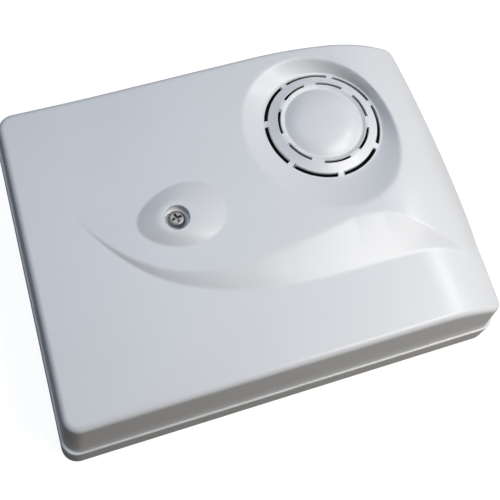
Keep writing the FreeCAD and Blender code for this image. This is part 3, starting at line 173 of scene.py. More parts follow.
def wave_face(a, b):
    """Height of the face without its dish and boss, and height of the upper field."""
    upper = field(a, b, WAVE_RISE, UPPER_START)
    lower = field(a, b, 0.0, LOWER_START)
    past = np.clip(a - LOWER_START[0], 0.0, LOWER_ROLL_REACH)
    foot = FACE_HEIGHT - ROLL_RADIUS + np.sqrt(ROLL_RADIUS ** 2 - past ** 2)
    beyond = b - np.interp(a, CREASE[:, 0], CREASE[:, 1])
    ramp = foot + np.interp(a, *np.array(RAMP_SLOPES).T) * beyond
    dip = np.interp(a, *np.array(RAMP_DIPS).T) * np.clip(1 - beyond / DIP_REACH, 0.0, 1.0) ** 2
    upper = np.where(a > DIP_START, smooth_max(upper - dip, lower + LEAST_STEP, DIP_BLEND), upper - dip)
    step = np.maximum(upper - lower, LEAST_STEP)
    share = np.clip((ramp - lower) / step, 0.0, 1.0)
    bend = np.interp(a, BEND_FADE, [RAMP_BEND, 1.0])
    ramp = np.where((share > 0) & (share < 1), lower + step * (1 - (1 - share) ** bend), ramp)
    ramp = np.where(a < CREASE[0, 0], np.where(b > CREASE[0, 1], FAR, -FAR), ramp)
    width = np.clip(CREASE_SHARE * (upper - lower), LEAST_STEP, CREASE_BLEND)
    return smooth_max(lower, smooth_min(upper, ramp, width), width), upper


HALVINGS = 26
DISH_SHARES, BOSS_SHARES = (-1.0, 3.0), (0.0, 2.0)
LEAST_HALF, TAPER_REACH = 0.1, 1.5


def solve_level(inside, shares, shape):
    """The share at which each point lies on a growing outline; inside(share) says which points it holds."""
    least, most = np.full(shape, shares[0]), np.full(shape, shares[1])
    for _ in range(HALVINGS):
        middle = (least + most) / 2
        held = inside(middle)
        most = np.where(held, middle, most)
        least = np.where(held, least, middle)
    return (least + most) / 2


def dish_level(a, b):
    """0 on the edge of the dish's floor, 1 on its oval rim, above 1 outside."""
    def inside(share):
        x = a - GRILLE[0] - share * (DISH[0] - GRILLE[0])
        y = b - GRILLE[1] - share * (DISH[1] - GRILLE[1])
        along = x * math.cos(DISH_TURN) + y * math.sin(DISH_TURN)
        across = y * math.cos(DISH_TURN) - x * math.sin(DISH_TURN)
        long_half = np.maximum(FLOOR_RADIUS + share * (DISH_LONG - FLOOR_RADIUS), LEAST_HALF)
        short_half = np.maximum(FLOOR_RADIUS + share * (DISH_SHORT - FLOOR_RADIUS), LEAST_HALF)
        return (along / long_half) ** 2 + (across / short_half) ** 2 < 1
    return solve_level(inside, DISH_SHARES, a.shape)


def boss_level(a, b):
    """1 on the boss's flat top, 0 at its foot, below 0 outside."""
    def inside(share):
        x = a - BOSS[0] - share * (SCREW[0] - BOSS[0])
        y = b - BOSS[1] - share * (SCREW[1] - BOSS[1])
        along = x / np.maximum(BOSS_LONG + share * (BOSS_FLAT - BOSS_LONG), LEAST_HALF)
        taper = 1 + BOSS_TAPER * (1 - share) * np.clip(along, -TAPER_REACH, TAPER_REACH)
        across = y / np.maximum(BOSS_SHORT + share * (BOSS_FLAT - BOSS_SHORT), LEAST_HALF) / taper
        return along ** 2 + across ** 2 < 1
    return 1 - solve_level(lambda share: inside(1 - share), BOSS_SHARES, a.shape)


def face_height(a, b):
    """Height of the finished face."""
    a, b = np.asarray(a, float), np.asarray(b, float)
    height, upper = wave_face(a, b)
    near = np.hypot(a - DISH[0], b - DISH[1]) < DISH_NEAR
    if near.any():
        share = dish_level(a[near], b[near])
        bowl = FLOOR_HEIGHT + (upper[near] - FLOOR_HEIGHT) * np.clip(share, 0.0, 1.0) ** BOWL_POWER
        bowl += np.maximum(share - 1, 0.0) * BOWL_POWER * (FACE_HEIGHT + WAVE_RISE - FLOOR_HEIGHT)
        height[near] = smooth_min(height[near], bowl, BOWL_BLEND)
    near = np.hypot(a - BOSS[0], b - BOSS[1]) < BOSS_NEAR
    if near.any():
        share = boss_level(a[near], b[near])
        raised = BOSS_RISE * (1 - np.sign(1 - share) * np.abs(1 - share) ** BOSS_POWER)
        raised = smooth_min(raised, np.full_like(raised, BOSS_RISE), BOSS_TOP_BLEND)
        height[near] += smooth_max(raised, np.zeros_like(raised), BOSS_FOOT_BLEND)
    return height


# Outline of the walls


def crossing(first, first_radius, second, second_radius):
    """The right-hand crossing of two circles."""
    dx, dy = second[0] - first[0], second[1] - first[1]
    gap = math.hypot(dx, dy)
    along = (first_radius ** 2 - second_radius ** 2 + gap ** 2) / (2 * gap)
    across = math.sqrt(first_radius ** 2 - along ** 2)
    foot = (first[0] + along * dx / gap, first[1] + along * dy / gap)
    ends = [(foot[0] + s * across * dy / gap, foot[1] - s * across * dx / gap) for s in (1, -1)]
    return max(ends, key=lambda p: p[0])


def arc(centre, radius, start, end, count):
    """Points on an arc from one direction to another, the short way round, without the last."""
    first = math.atan2(start[1] - centre[1], start[0] - centre[0])
    sweep = math.atan2(end[1] - centre[1], end[0] - centre[0]) - first
    sweep = (sweep + math.pi) % (2 * math.pi) - math.pi
    turns = first + sweep * np.arange(count) / count
    return np.stack([centre[0] + radius * np.cos(turns), centre[1] + radius * np.sin(turns)], 1)


def line(start, end, count):
    """Points on a straight line, without the last."""
    share = (np.arange(count) / count)[:, None]
    return np.array(start) * (1 - share) + np.array(end) * share


# Points on each stretch of the outline: top, curved top, right corner, right side, right corner,
# front, left corner, left side, left corner
STRETCHES = [175, 95, 18, 190, 18, 260, 14, 212, 14]


def outline(insets, left_round, right_round):
    """Closed plan of the walls at one height, clockwise from the left end of the top."""
    left, front, top, right = insets
    low_y, high_y = front, BOX_WIDTH - top
    top_radius, side_radius = TOP_ARC_RADIUS - top, SIDE_ARC_RADIUS - right
    high = crossing(TOP_ARC_CENTRE, top_radius - right_round, SIDE_ARC_CENTRE, side_radius - right_round)
    corner_y = low_y + right_round
    reach = math.sqrt((side_radius - right_round) ** 2 - (corner_y - SIDE_ARC_CENTRE[1]) ** 2)
    low = (SIDE_ARC_CENTRE[0] + reach, corner_y)
    near, far = (left + left_round, low_y + left_round), (left + left_round, high_y - left_round)
    straight_end = (TOP_ARC_CENTRE[0], high_y)
    from_top, from_side = (np.array(high) * 2 - centre for centre in (TOP_ARC_CENTRE, SIDE_ARC_CENTRE))
    runs = [
        line((far[0], high_y), straight_end, STRETCHES[0]),
        arc(TOP_ARC_CENTRE, top_radius, straight_end, high, STRETCHES[1]),
        arc(high, right_round, from_top, from_side, STRETCHES[2]),
        arc(SIDE_ARC_CENTRE, side_radius, high, low, STRETCHES[3]),
        arc(low, right_round, np.array(low) * 2 - SIDE_ARC_CENTRE, (low[0], low_y), STRETCHES[4]),
        line((low[0], low_y), (near[0], low_y), STRETCHES[5]),
        arc(near, left_round, (near[0], low_y), (left, near[1]), STRETCHES[6]),
        line((left, near[1]), (left, far[1]), STRETCHES[7]),
        arc(far, left_round, (left, far[1]), (far[0], high_y), STRETCHES[8]),
    ]
    return np.concatenate(runs)


def wall_outlines():
    """Plan of the walls at the height of the rim, and how far each point moves with a rise of one."""
    top_z = 2 * FACE_HEIGHT - RIM_HEIGHT
    low = outline([SKIRT_INSET] * 4, LEFT_ROUND, RIGHT_ROUND - ROUND_SHRINK * SKIRT_INSET)
    insets = [2 * LEANS[side] - SKIRT_INSET for side in ("left", "front", "top", "right")]
    high = outline(insets, LEFT_ROUND, RIGHT_ROUND - ROUND_SHRINK * insets[3])
    return low, (high - low) / (top_z - RIM_HEIGHT)


# Meshes


def placed(a, b, z):
    """Points in metres in the shared frame, from the box's left and front sides and the wall."""
    return np.stack([(a + X_LEFT) * MM, (b + Y_FRONT) * MM, np.broadcast_to(z, np.shape(a)) * MM], -1)


def around(centre, radius, turns, z):
    """Placed points round a centre, with the turns in radians."""
    return placed(centre[0] + radius * np.cos(turns), centre[1] + radius * np.sin(turns), z)


def grid_faces(rows, columns, closed, start=0):
    """Quads of a grid whose rows follow one another; closed joins each row's ends."""
    i = np.arange(rows - 1)[:, None] * columns + start
    j = np.arange(columns if closed else columns - 1)[None, :]
    k = (j + 1) % columns
    return np.stack([i + j, i + k, i + columns + k, i + columns + j], -1).reshape(-1, 4)


WELD_GAP = 0.00002


def mesh_object(name, points, faces, material):
    """A smooth-shaded piece whose shared points are joined and whose faces all turn outward."""
    mesh = bpy.data.meshes.new(name)
    mesh.from_pydata([tuple(p) for p in points.reshape(-1, 3)], [], [tuple(int(v) for v in f) for f in faces])
    mesh.validate()
    mesh.shade_smooth()
    mesh.materials.append(material)
    thing = bpy.data.objects.new(name, mesh)
    bpy.context.scene.collection.objects.link(thing)
    work = bmesh.new()
    work.from_mesh(mesh)
    bmesh.ops.remove_doubles(work, verts=work.verts, dist=WELD_GAP)
    loose = [v for v in work.verts if not v.link_faces]
    bmesh.ops.delete(work, geom=loose, context="VERTS")
    bmesh.ops.recalc_face_normals(work, faces=work.faces)
    work.to_mesh(mesh)
    work.free()
    return thing


# Shell of the cover

EDGE_ROUNDS, EDGE_PROBE, EDGE_POINTS = 40, 0.5, 9
WALL_SHARES = (0.35, 0.7)
PATCH_EXTRA = 2                               # points on the patch's first side beyond those of the top
GRILLE_MARGIN, HOLE_MARGIN = 0.5, 1.6         # gaps in the face, filled by the grille and the screw's hole


def wall_rings():
    """Rings of points from the foot of the walls, up and round their edge, to the last one on the face."""
    low, growth = wall_outlines()
    height = np.full(len(low), FACE_HEIGHT)
    for _ in range(EDGE_ROUNDS):
        edge = low + growth * (height - RIM_HEIGHT)[:, None]
        height = wave_face(edge[:, 0], edge[:, 1])[0]
    tangent = np.roll(edge, -1, 0) - np.roll(edge, 1, 0)
    tangent /= np.linalg.norm(tangent, axis=1)[:, None]
    inward = np.stack([tangent[:, 1], -tangent[:, 0]], 1)
    rise = (wave_face(*(edge + EDGE_PROBE * inward).T)[0] - height) / EDGE_PROBE
    down = np.concatenate([-growth, np.full((len(low), 1), -1.0)], 1)
    down /= np.linalg.norm(down, axis=1)[:, None]
    along = np.concatenate([inward, rise[:, None]], 1)
    along /= np.linalg.norm(along, axis=1)[:, None]
    half = np.arccos(np.clip((down * along).sum(1), -1, 1)) / 2
    reach = EDGE_ROUND / np.tan(half)
    corner = np.concatenate([edge, height[:, None]], 1)
    start = corner + down * reach[:, None]
    end = corner + along * reach[:, None]
    end[:, 2] = wave_face(end[:, 0], end[:, 1])[0]
    rings = []
    for flare, z in FOOT_BEAD:
        foot = low - flare * inward + growth * max(z - RIM_HEIGHT, 0.0)
        rings.append(np.concatenate([foot, np.full((len(low), 1), z)], 1))
    for share in WALL_SHARES:
        rings.append(rings[-1] * (1 - share) + start * share)
    pull = np.sin(half)[:, None]
    for t in np.linspace(0, 1, EDGE_POINTS):
        weights = ((1 - t) ** 2, 2 * t * (1 - t) * pull, t ** 2)
        rings.append((weights[0] * start + weights[1] * corner + weights[2] * end) / sum(weights))
    return np.array(rings)


def coons(loop, across):
    """A grid of plan points inside a closed loop; across is the number of points on its first side."""
    up = len(loop) // 2 - across
    corners = [0, across, across + up, 2 * across + up]
    ring = np.concatenate([loop, loop[:1]])
    first = ring[corners[0]:corners[1] + 1]
    right = ring[corners[1]:corners[2] + 1]
    last = ring[corners[2]:corners[3] + 1][::-1]
    left = ring[corners[3]:][::-1]
    u = np.linspace(0, 1, across + 1)[None, :, None]
    v = np.linspace(0, 1, up + 1)[:, None, None]
    flat = (1 - v) * first[None] + v * last[None] + (1 - u) * left[:, None] + u * right[:, None]
    flat -= (1 - u) * (1 - v) * first[0] + u * (1 - v) * first[-1] + (1 - u) * v * last[0] + u * v * last[-1]
    return flat


def cover_shell(material):
    """Walls, edge and face of the cover, open at the grille and at the screw's hole."""
    rings = wall_rings()
    walls = grid_faces(len(rings), rings.shape[1], True)
    across = sum(STRETCHES[:3]) + PATCH_EXTRA
    flat = coons(np.roll(rings[-1][:, :2], STRETCHES[8] // 2, 0), across)
    patch = grid_faces(*flat.shape[:2], False, rings.size // 3)
    middle = flat[:-1, :-1] / 2 + flat[1:, 1:] / 2
    keep = np.hypot(*np.moveaxis(middle - GRILLE, -1, 0)) > FLOOR_RADIUS + GRILLE_MARGIN
    keep &= np.hypot(*np.moveaxis(middle - SCREW, -1, 0)) > HOLE_RADIUS + HOLE_MARGIN
    patch = patch[keep.reshape(-1)]
    face = placed(flat[..., 0], flat[..., 1], face_height(flat[..., 0], flat[..., 1]))
    points = np.concatenate([placed(*np.moveaxis(rings, -1, 0)).reshape(-1, 3), face.reshape(-1, 3)])
    return mesh_object("cover_shell", points, np.concatenate([walls, patch]), material)


# Grille: rings of the mesh as distances from the floor's edge, the slots, the lip and the dome's edge

FLOOR_RINGS = (1.1, 0.7, 0.35, 0.1, -0.2)
BESIDE_SLOTS = (0.12, 0.2)
BAND_RINGS, LIP_RINGS = (1.0, 0.7, 0.15), (0.03, 0.15, 0.05)
DOME_RINGS = (0.3, 0.12, 0.0, -0.15, -0.4)
DOME_INSET, DOME_MIDDLE, DOME_COUNT, SLOPE_COUNT = 1.0, 0.6, 26, 4
# Turns in degrees: between mesh lines, least distance from the end of a slot, and their digits and slack
TURN_STEP, TURN_MERGE, TURN_DIGITS, TURN_SLACK = 1.5, 0.3, 4, 0.001
FACE_OVERLAP, FACE_LIFT = 0.3, 0.01           # of a rim: inwards from the floor's edge, and over the face
# Walls of a slot: share of the bevel that widens it, and depth below the surface
SLOT_WALLS = ((1.0, 0.0), (0.35, 0.06), (0.0, SLOT_BEVEL + 0.05), (0.0, SLOT_DEPTH))


def grille_profile(r):
    """Height of the banded middle of the dish at a distance from its centre."""
    band = FLOOR_HEIGHT + BAND_RISE
    groove = band - GROOVE_DROP
    lip = INNER_SLOT - SLOT_WIDTHS[INNER_SLOT] / 2 - LIP_WIDTH
    low = OUTER_SLOT - SLOT_WIDTHS[OUTER_SLOT] / 2
    high = INNER_SLOT + SLOT_WIDTHS[INNER_SLOT] / 2
    height = np.interp(r, [DOME_RADIUS, DOME_RADIUS + GROOVE_WALL, lip, high, low, low + BAND_SPREAD],
                       [groove, groove, band, band, FLOOR_HEIGHT + BAND_STEP, FLOOR_HEIGHT])
    cap = groove + DOME_RISE * (1 - np.minimum(r / DOME_RADIUS, 1.0) ** DOME_POWER)
    return np.where(r < DOME_RADIUS, cap, height)


def slot_starts():
    """Each slot as its radius, its span and the turn that it starts at, in degrees."""
    outer = SLOT_TURN - 180 / SLOT_COUNT - OUTER_SPAN / 2
    inner = SLOT_TURN - INNER_SPAN / 2
    rings = ((OUTER_SLOT, OUTER_SPAN, outer), (INNER_SLOT, INNER_SPAN, inner))
    return [(radius, span, first + i * 360 / SLOT_COUNT)
            for radius, span, first in rings for i in range(SLOT_COUNT)]


def grille_radii():
    """Radii of the mesh rings, from outside the dish's floor in to the dome's middle."""
    outer_half, inner_half = (SLOT_WIDTHS[slot] / 2 + SLOT_BEVEL for slot in (OUTER_SLOT, INNER_SLOT))
    outer_low, outer_high = OUTER_SLOT - outer_half, OUTER_SLOT + outer_half
    inner_low, inner_high = INNER_SLOT - inner_half, INNER_SLOT + inner_half
    lip = inner_low + SLOT_BEVEL - LIP_WIDTH
    groove = DOME_RADIUS + GROOVE_WALL
    return np.array([
        *(FLOOR_RADIUS + out for out in FLOOR_RINGS),
        outer_high + BESIDE_SLOTS[0], outer_high, outer_low, outer_low - BESIDE_SLOTS[1],
        *np.linspace(outer_low - BAND_RINGS[0], inner_high + BAND_RINGS[1], SLOPE_COUNT),
        inner_high + BAND_RINGS[2], inner_high, inner_low, lip - LIP_RINGS[0],
        *np.linspace(lip - LIP_RINGS[1], groove + LIP_RINGS[2], SLOPE_COUNT),
        *(DOME_RADIUS + out for out in DOME_RINGS),
        *np.linspace(DOME_RADIUS - DOME_INSET, DOME_MIDDLE, DOME_COUNT),
    ])


def grille_turns(slots):
    """Turns of the mesh lines: even ones, and one at each end of every slot."""
    turns = set(np.round(np.arange(0, 360, TURN_STEP), TURN_DIGITS))
    for radius, span, start in slots:
        extra = math.degrees(SLOT_BEVEL / radius)
        ends = [round(end % 360, TURN_DIGITS) for end in (start - extra, start + span + extra)]
        turns = {t for t in turns if min(abs(t - end) for end in ends) > TURN_MERGE} | set(ends)
    return np.array(sorted(turns))


def grille_surface(slots, turns):
    """Points and faces of the grille, with its two rings of slots left open."""
    radii = grille_radii()
    r, turn = np.meshgrid(radii, np.radians(turns), indexing="ij")
    x, y = GRILLE[0] + r * np.cos(turn), GRILLE[1] + r * np.sin(turn)
    z = np.where(r > FLOOR_RADIUS - FACE_OVERLAP, face_height(x, y) + FACE_LIFT, grille_profile(r))
    faces = grid_faces(len(radii), len(turns), True).reshape(len(radii) - 1, len(turns), 4)
    keep = np.ones(faces.shape[:2], bool)
    middle_r = (radii[1:] + radii[:-1]) / 2
    middle_turn = (turns + (np.roll(turns, -1) - turns) % 360 / 2) % 360
    for radius, span, start in slots:
        extra = math.degrees(SLOT_BEVEL / radius)
        ring = np.abs(middle_r - radius) < SLOT_WIDTHS[radius] / 2 + SLOT_BEVEL
        stretch = (middle_turn - (start - extra)) % 360 < span + 2 * extra
        keep[np.ix_(ring, stretch)] = False
    centre = placed(np.array([GRILLE[0]]), np.array([GRILLE[1]]), float(grille_profile(0.0)))
    last = (len(radii) - 1) * len(turns)
    cap = [(last + i, last + (i + 1) % len(turns), r.size) for i in range(len(turns))]
    points = np.concatenate([placed(x, y, z).reshape(-1, 3), centre])
    return list(points), [tuple(f) for f in faces[keep]] + cap


def slot_walls(radius, span, start, turns):
    """Rings of points down the walls of one slot, at the grille's mesh lines within it.

    A first line that rounding puts just before the slot's start is left out, so the wall of such a
    slot begins at the next line, up to 0.5 mm late.
    """
    extra = math.degrees(SLOT_BEVEL / radius)
    length = span + 2 * extra
    within = sorted({round((t - (start - extra)) % 360, TURN_DIGITS) for t in turns})
    shares = np.array([t for t in within if t <= length + TURN_SLACK]) / length
    rings = []
    for grow, depth in SLOT_WALLS:
        width = SLOT_WIDTHS[radius] / 2 + SLOT_BEVEL * grow
        angles = np.radians(start - extra * grow + shares * (span + 2 * extra * grow))
        loop_r = np.repeat([radius + width, radius - width], len(angles))
        loop_turn = np.concatenate([angles, angles[::-1]])
        rings.append(around(GRILLE, loop_r, loop_turn, grille_profile(loop_r) - depth))
    return rings


def grille_piece(material):
    """The grille with the walls of its slots."""
    slots = slot_starts()
    turns = grille_turns(slots)
    points, faces = grille_surface(slots, turns)
    for radius, span, start in slots:
        rings = slot_walls(radius, span, start, turns)
        faces += [tuple(f) for f in grid_faces(len(rings), len(rings[0]), True, len(points))]
        points += [p for ring in rings for p in ring]
    return mesh_object("grille", np.array(points), faces, material)


# Screw's hole and the screw: turn between mesh lines in degrees, and rings of the mesh

HOLE_STEP, HEAD_STEP = 3.0, 2.5
HOLE_RINGS, ROUND_SHARES = (2.3, 1.7, 1.1, 0.6, HOLE_ROUND), (0.25, 1, 5)
CROSS_RINGS, BRIM_RINGS = (0.05, 2.4, 34), (2.5, HEAD_RADIUS, 12)
# Radius of a ring and its height over the seat, from above down
SEAT_RINGS = [(HOLE_RADIUS, SEAT_FILLET), (HOLE_RADIUS - SEAT_FILLET, 0.0), (BORE_RADIUS + SEAT_FILLET, 0.0),
              (BORE_RADIUS, -SEAT_FILLET), (BORE_RADIUS, -BORE_DEPTH)]
SHANK_RINGS = [(HEAD_RADIUS, 0.5), (HEAD_RADIUS - 0.1, 0.02), (SHANK_RADIUS, 0.01),
               (SHANK_RADIUS, -SHANK_LENGTH), (TIP_RADIUS, -TIP_LENGTH)]


def screw_hole(material):
    """Rim of the hole in the boss, its rounded edge, its wall and the seat of the screw's head."""
    turns = np.radians(np.arange(0, 360, HOLE_STEP))
    rows = []
    for out in HOLE_RINGS:
        x, y = SCREW[0] + (HOLE_RADIUS + out) * np.cos(turns), SCREW[1] + (HOLE_RADIUS + out) * np.sin(turns)
        rim = face_height(x, y)
        rows.append(placed(x, y, rim + FACE_LIFT))
    for share in np.linspace(*ROUND_SHARES):
        bend = share * math.pi / 2
        radius = HOLE_RADIUS + HOLE_ROUND * (1 - math.sin(bend))
        rows.append(around(SCREW, radius, turns, rim - HOLE_ROUND * (1 - math.cos(bend))))
    for radius, height in SEAT_RINGS:
        rows.append(around(SCREW, radius, turns, SEAT_HEIGHT + height))
    return mesh_object("screw_hole", np.concatenate(rows), grid_faces(len(rows), len(turns), True), material)


def screw_head(material):
    """Pan head with a tapered cross, and the plain shank below it."""
    turns = np.radians(np.arange(0, 360, HEAD_STEP))
    radii = np.concatenate([np.linspace(*CROSS_RINGS), np.linspace(*BRIM_RINGS)])
    r, turn = np.meshgrid(radii, turns, indexing="ij")
    crown = 1 - (np.clip(r - HEAD_FLAT, 0, None) / (HEAD_RADIUS - HEAD_FLAT)) ** CROWN_POWER
    z = SEAT_HEIGHT + HEAD_HEIGHT * (HEAD_SIDE + HEAD_CROWN * crown) - CROWN_FALL * r ** 2
    u = r * np.cos(turn - math.radians(CROSS_TURN))
    v = r * np.sin(turn - math.radians(CROSS_TURN))
    depth = np.zeros_like(r)
    for along, across in ((u, v), (v, u)):
        wall = np.clip((CROSS_HALF - np.abs(across)) / CROSS_EDGE, 0, 1)
        end = np.clip((CROSS_REACH - np.abs(along)) / CROSS_TAPER, 0, 1)
        depth = np.maximum(depth, wall * np.minimum(end * CROSS_END_DEPTH, CROSS_DEPTH))
    z -= depth
    rows = [around(SCREW, radius, turns, level) for radius, level in zip(radii, z)]
    for radius, height in SHANK_RINGS:
        rows.append(around(SCREW, radius, turns, SEAT_HEIGHT + height))
    faces = [tuple(f) for f in grid_faces(len(rows), len(turns), True)]
    rows.append(placed(np.array([SCREW[0]]), np.array([SCREW[1]]), float(z[0].mean())))
    points = np.concatenate(rows)
    faces += [(i, (i + 1) % len(turns), len(points) - 1) for i in range(len(turns))]
    return mesh_object("screw_head", points, faces, material)


# Materials

DRIFT_SCALE, DRIFT_DETAIL, GRAIN_DETAIL = 38.0, 3.0, 2.0
DRIFT_RANGE = (0.3, 0.7)
BUMP_STRENGTH, COAT_ROUGHNESS, LEAST_ROUGHNESS = 0.5, 0.2, 0.05


def surface(name, colour, rough, metal=0.0, grain=900.0, depth=0.05, mottle=0.04, stretch=(1, 1, 1), coat=0.0,
            spread=0.08, specular=0.5):
    """A moulded, pressed or woven surface: slow colour drift, uneven gloss and a fine grain."""
    material = bpy.data.materials.new(name)
    material.use_nodes = True
    nodes, links = material.node_tree.nodes, material.node_tree.links
    shader = nodes["Principled BSDF"]
    shader.inputs["Metallic"].default_value = metal
    shader.inputs["Specular IOR Level"].default_value = specular
    if coat:
        shader.inputs["Coat Weight"].default_value = coat
        shader.inputs["Coat Roughness"].default_value = COAT_ROUGHNESS
    place = nodes.new("ShaderNodeTexCoord")
    mapping = nodes.new("ShaderNodeMapping")
    mapping.inputs["Scale"].default_value = stretch
    links.new(place.outputs["Object"], mapping.inputs["Vector"])

    def noise(scale, detail):
        node = nodes.new("ShaderNodeTexNoise")
        node.inputs["Scale"].default_value = scale
        node.inputs["Detail"].default_value = detail
        links.new(mapping.outputs["Vector"], node.inputs["Vector"])
        return node

    drift = noise(DRIFT_SCALE, DRIFT_DETAIL)
    ramp = nodes.new("ShaderNodeValToRGB")
    for element, position, sign in zip(ramp.color_ramp.elements, DRIFT_RANGE, (-1, 1)):
        element.position = position
        element.color = [min(c * (1 + sign * mottle), 1.0) for c in colour] + [1.0]
    links.new(drift.outputs["Fac"], ramp.inputs["Fac"])
    links.new(ramp.outputs["Color"], shader.inputs["Base Color"])
    fine = noise(grain, GRAIN_DETAIL)
    gloss = nodes.new("ShaderNodeMapRange")
    gloss.inputs["To Min"].default_value = max(rough - spread, LEAST_ROUGHNESS)
    gloss.inputs["To Max"].default_value = min(rough + spread, 1.0)
    links.new(fine.outputs["Fac"], gloss.inputs["Value"])
    links.new(gloss.outputs["Result"], shader.inputs["Roughness"])
    bump = nodes.new("ShaderNodeBump")
    bump.inputs["Strength"].default_value = BUMP_STRENGTH
    bump.inputs["Distance"].default_value = depth * MM
    links.new(fine.outputs["Fac"], bump.inputs["Height"])
    links.new(bump.outputs["Normal"], shader.inputs["Normal"])
    return material


# Colour and roughness, then what differs from a plain matt surface; depth is that of the grain in mm
FINISHES = {
    "cover_plastic": dict(colour=(0.71, 0.72, 0.735), rough=0.42,
                          grain=1500.0, depth=0.012, mottle=0.012, spread=0.05, coat=0.2),
    # The screw's steel is set far darker than bare steel (plated_steel below): painted shade, so the head
    # stays dark in its hole instead of showing the lamps' light.
    "screw_steel": dict(colour=(0.20, 0.195, 0.19), rough=0.42, metal=1.0,
                        grain=2600.0, depth=0.02, mottle=0.08),
    "plated_steel": dict(colour=(0.56, 0.56, 0.53), rough=0.35, metal=1.0,
                         grain=1800.0, depth=0.02, mottle=0.07),
    "black_cloth": dict(colour=(0.006, 0.006, 0.006), rough=0.95,
                        grain=2200.0, depth=0.25, mottle=0.3, specular=0.2),
    "foam": dict(colour=(0.02, 0.02, 0.02), rough=0.95, grain=1300.0, depth=0.3, mottle=0.2, specular=0.2),
    "paper_cone": dict(colour=(0.03, 0.03, 0.03), rough=0.85, grain=1000.0, depth=0.1, mottle=0.15),
    "copper": dict(colour=(0.55, 0.2, 0.08), rough=0.3, metal=1.0,
                   grain=900.0, depth=0.04, mottle=0.1, stretch=(1, 1, 9)),
    "ferrite": dict(colour=(0.035, 0.035, 0.04), rough=0.6, grain=1500.0, depth=0.06, mottle=0.12),
    "board_laminate": dict(colour=(0.015, 0.1, 0.04), rough=0.4,
                           grain=700.0, depth=0.05, mottle=0.15, coat=0.4),
    "terminal_plastic": dict(colour=(0.02, 0.15, 0.045), rough=0.45, grain=1400.0, depth=0.03, mottle=0.05),
    "dark_sleeve": dict(colour=(0.015, 0.018, 0.035), rough=0.3,
                        grain=500.0, depth=0.03, mottle=0.08, coat=0.5),
    "black_resin": dict(colour=(0.012, 0.012, 0.013), rough=0.55, grain=2000.0, depth=0.05, mottle=0.1),
    "sink_aluminium": dict(colour=(0.62, 0.63, 0.64), rough=0.38, metal=1.0,
                           grain=900.0, depth=0.03, mottle=0.05, stretch=(1, 1, 14)),
    "resistor_lacquer": dict(colour=(0.4, 0.3, 0.16), rough=0.35,
                             grain=800.0, depth=0.04, mottle=0.08, coat=0.4),
    "battery_sleeve": dict(colour=(0.012, 0.08, 0.05), rough=0.3,
                           grain=300.0, depth=0.08, mottle=0.08, coat=0.5),
}


def dress_solids(materials):
    """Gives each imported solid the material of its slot."""
    slot_of = {part["node"]: part["material_slot"] for part in frame["record"]["subparts"]}
    for name, thing in frame["nodes"].items():
        finish = materials[slot_of[name]]
        if thing.material_slots:
            for holder in thing.material_slots:
                holder.material = finish
        else:
            thing.data.materials.append(finish)


materials = {name: surface(name, **look) for name, look in FINISHES.items()}
dress_solids(materials)

# Pieces that stand for the cover and its screw

cover = cover_shell(materials["cover_plastic"])
grille = grille_piece(materials["cover_plastic"])
hole = screw_hole(materials["cover_plastic"])
head = screw_head(materials["screw_steel"])
for piece in (cover, grille, hole):
    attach(piece, "root")
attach(head, "root")
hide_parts("front_cover")
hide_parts("cover_screw")

# Camera: place and turn found from the photograph's edges

CAMERA_SPOT = (31.42, -17.13, 269.17)         # from the box's left and front sides and the wall
CAMERA_TURN = (2.72928, -0.38848, 0.15912)    # axis of the turn, as long as its angle in radians
FOCAL_PIXELS = 661.2
IMAGE_PIXELS = 500.0
# Of the lens axis from the picture's middle, right and down: half of the best fit's, for the other views
CENTRE_SHIFT = (-51.0, -37.3)
SENSOR = 36.0
NEAREST = 0.01


def make_camera():
    """The camera that sees the object as the photograph does."""
    data = bpy.data.cameras.new("view_camera")
    camera = bpy.data.objects.new("view_camera", data)
    bpy.context.scene.collection.objects.link(camera)
    turn = Vector(CAMERA_TURN)
    right, down, ahead = Matrix.Rotation(turn.length, 3, turn.normalized())
    world = Matrix((right, -down, -ahead)).transposed().to_4x4()
    world.translation = Vector((X_LEFT + CAMERA_SPOT[0], Y_FRONT + CAMERA_SPOT[1], CAMERA_SPOT[2])) * MM
    camera.matrix_world = world
    data.sensor_width = SENSOR
    data.lens = FOCAL_PIXELS * SENSOR / IMAGE_PIXELS
    data.shift_x = -CENTRE_SHIFT[0] / IMAGE_PIXELS
    data.shift_y = CENTRE_SHIFT[1] / IMAGE_PIXELS
    data.clip_start = NEAREST
    bpy.context.scene.camera = camera


make_camera()

# Studio: places, aims and sizes in metres, power in watts, roll in degrees

LAMPS = {
    "window_light": dict(spot=(0.227, -0.150, 0.366), aim=(0.0, 0.0, 0.02), size=(0.26, 0.15),
                         power=1.2463, colour=(1.0, 0.9563, 0.9029), roll=-30.0),
    "side_light": dict(spot=(0.345, 0.01, 0.325), aim=(0.06, 0.0, 0.02), size=(0.08, 0.08),
                       power=0.2856, colour=(0.9608, 0.9804, 1.0)),
    "sky_light": dict(spot=(-0.09, 0.25, 0.75), aim=(0.0, 0.0, 0.02), size=(0.5, 0.5),
                      power=1.9276, colour=(0.6557, 0.7951, 1.0)),
}
WORLD_DIM, WORLD_STRENGTH = (0.90, 0.94, 1.0, 1.0), 0.025
WHITE = (1.0, 1.0, 1.0, 1.0)
FLOOR_HALF, FLOOR_DROP = 3.0, 0.0001
FLOOR_LIT, FLOOR_PLAIN = (0.35, 0.35, 0.35, 1.0), (0.24, 0.225, 0.205, 1.0)
# How far out the floor's own white starts and ends to grow, and its strength inside and outside that
FLOOR_FADE = (0.25, 0.8, 0.88, 1.0)


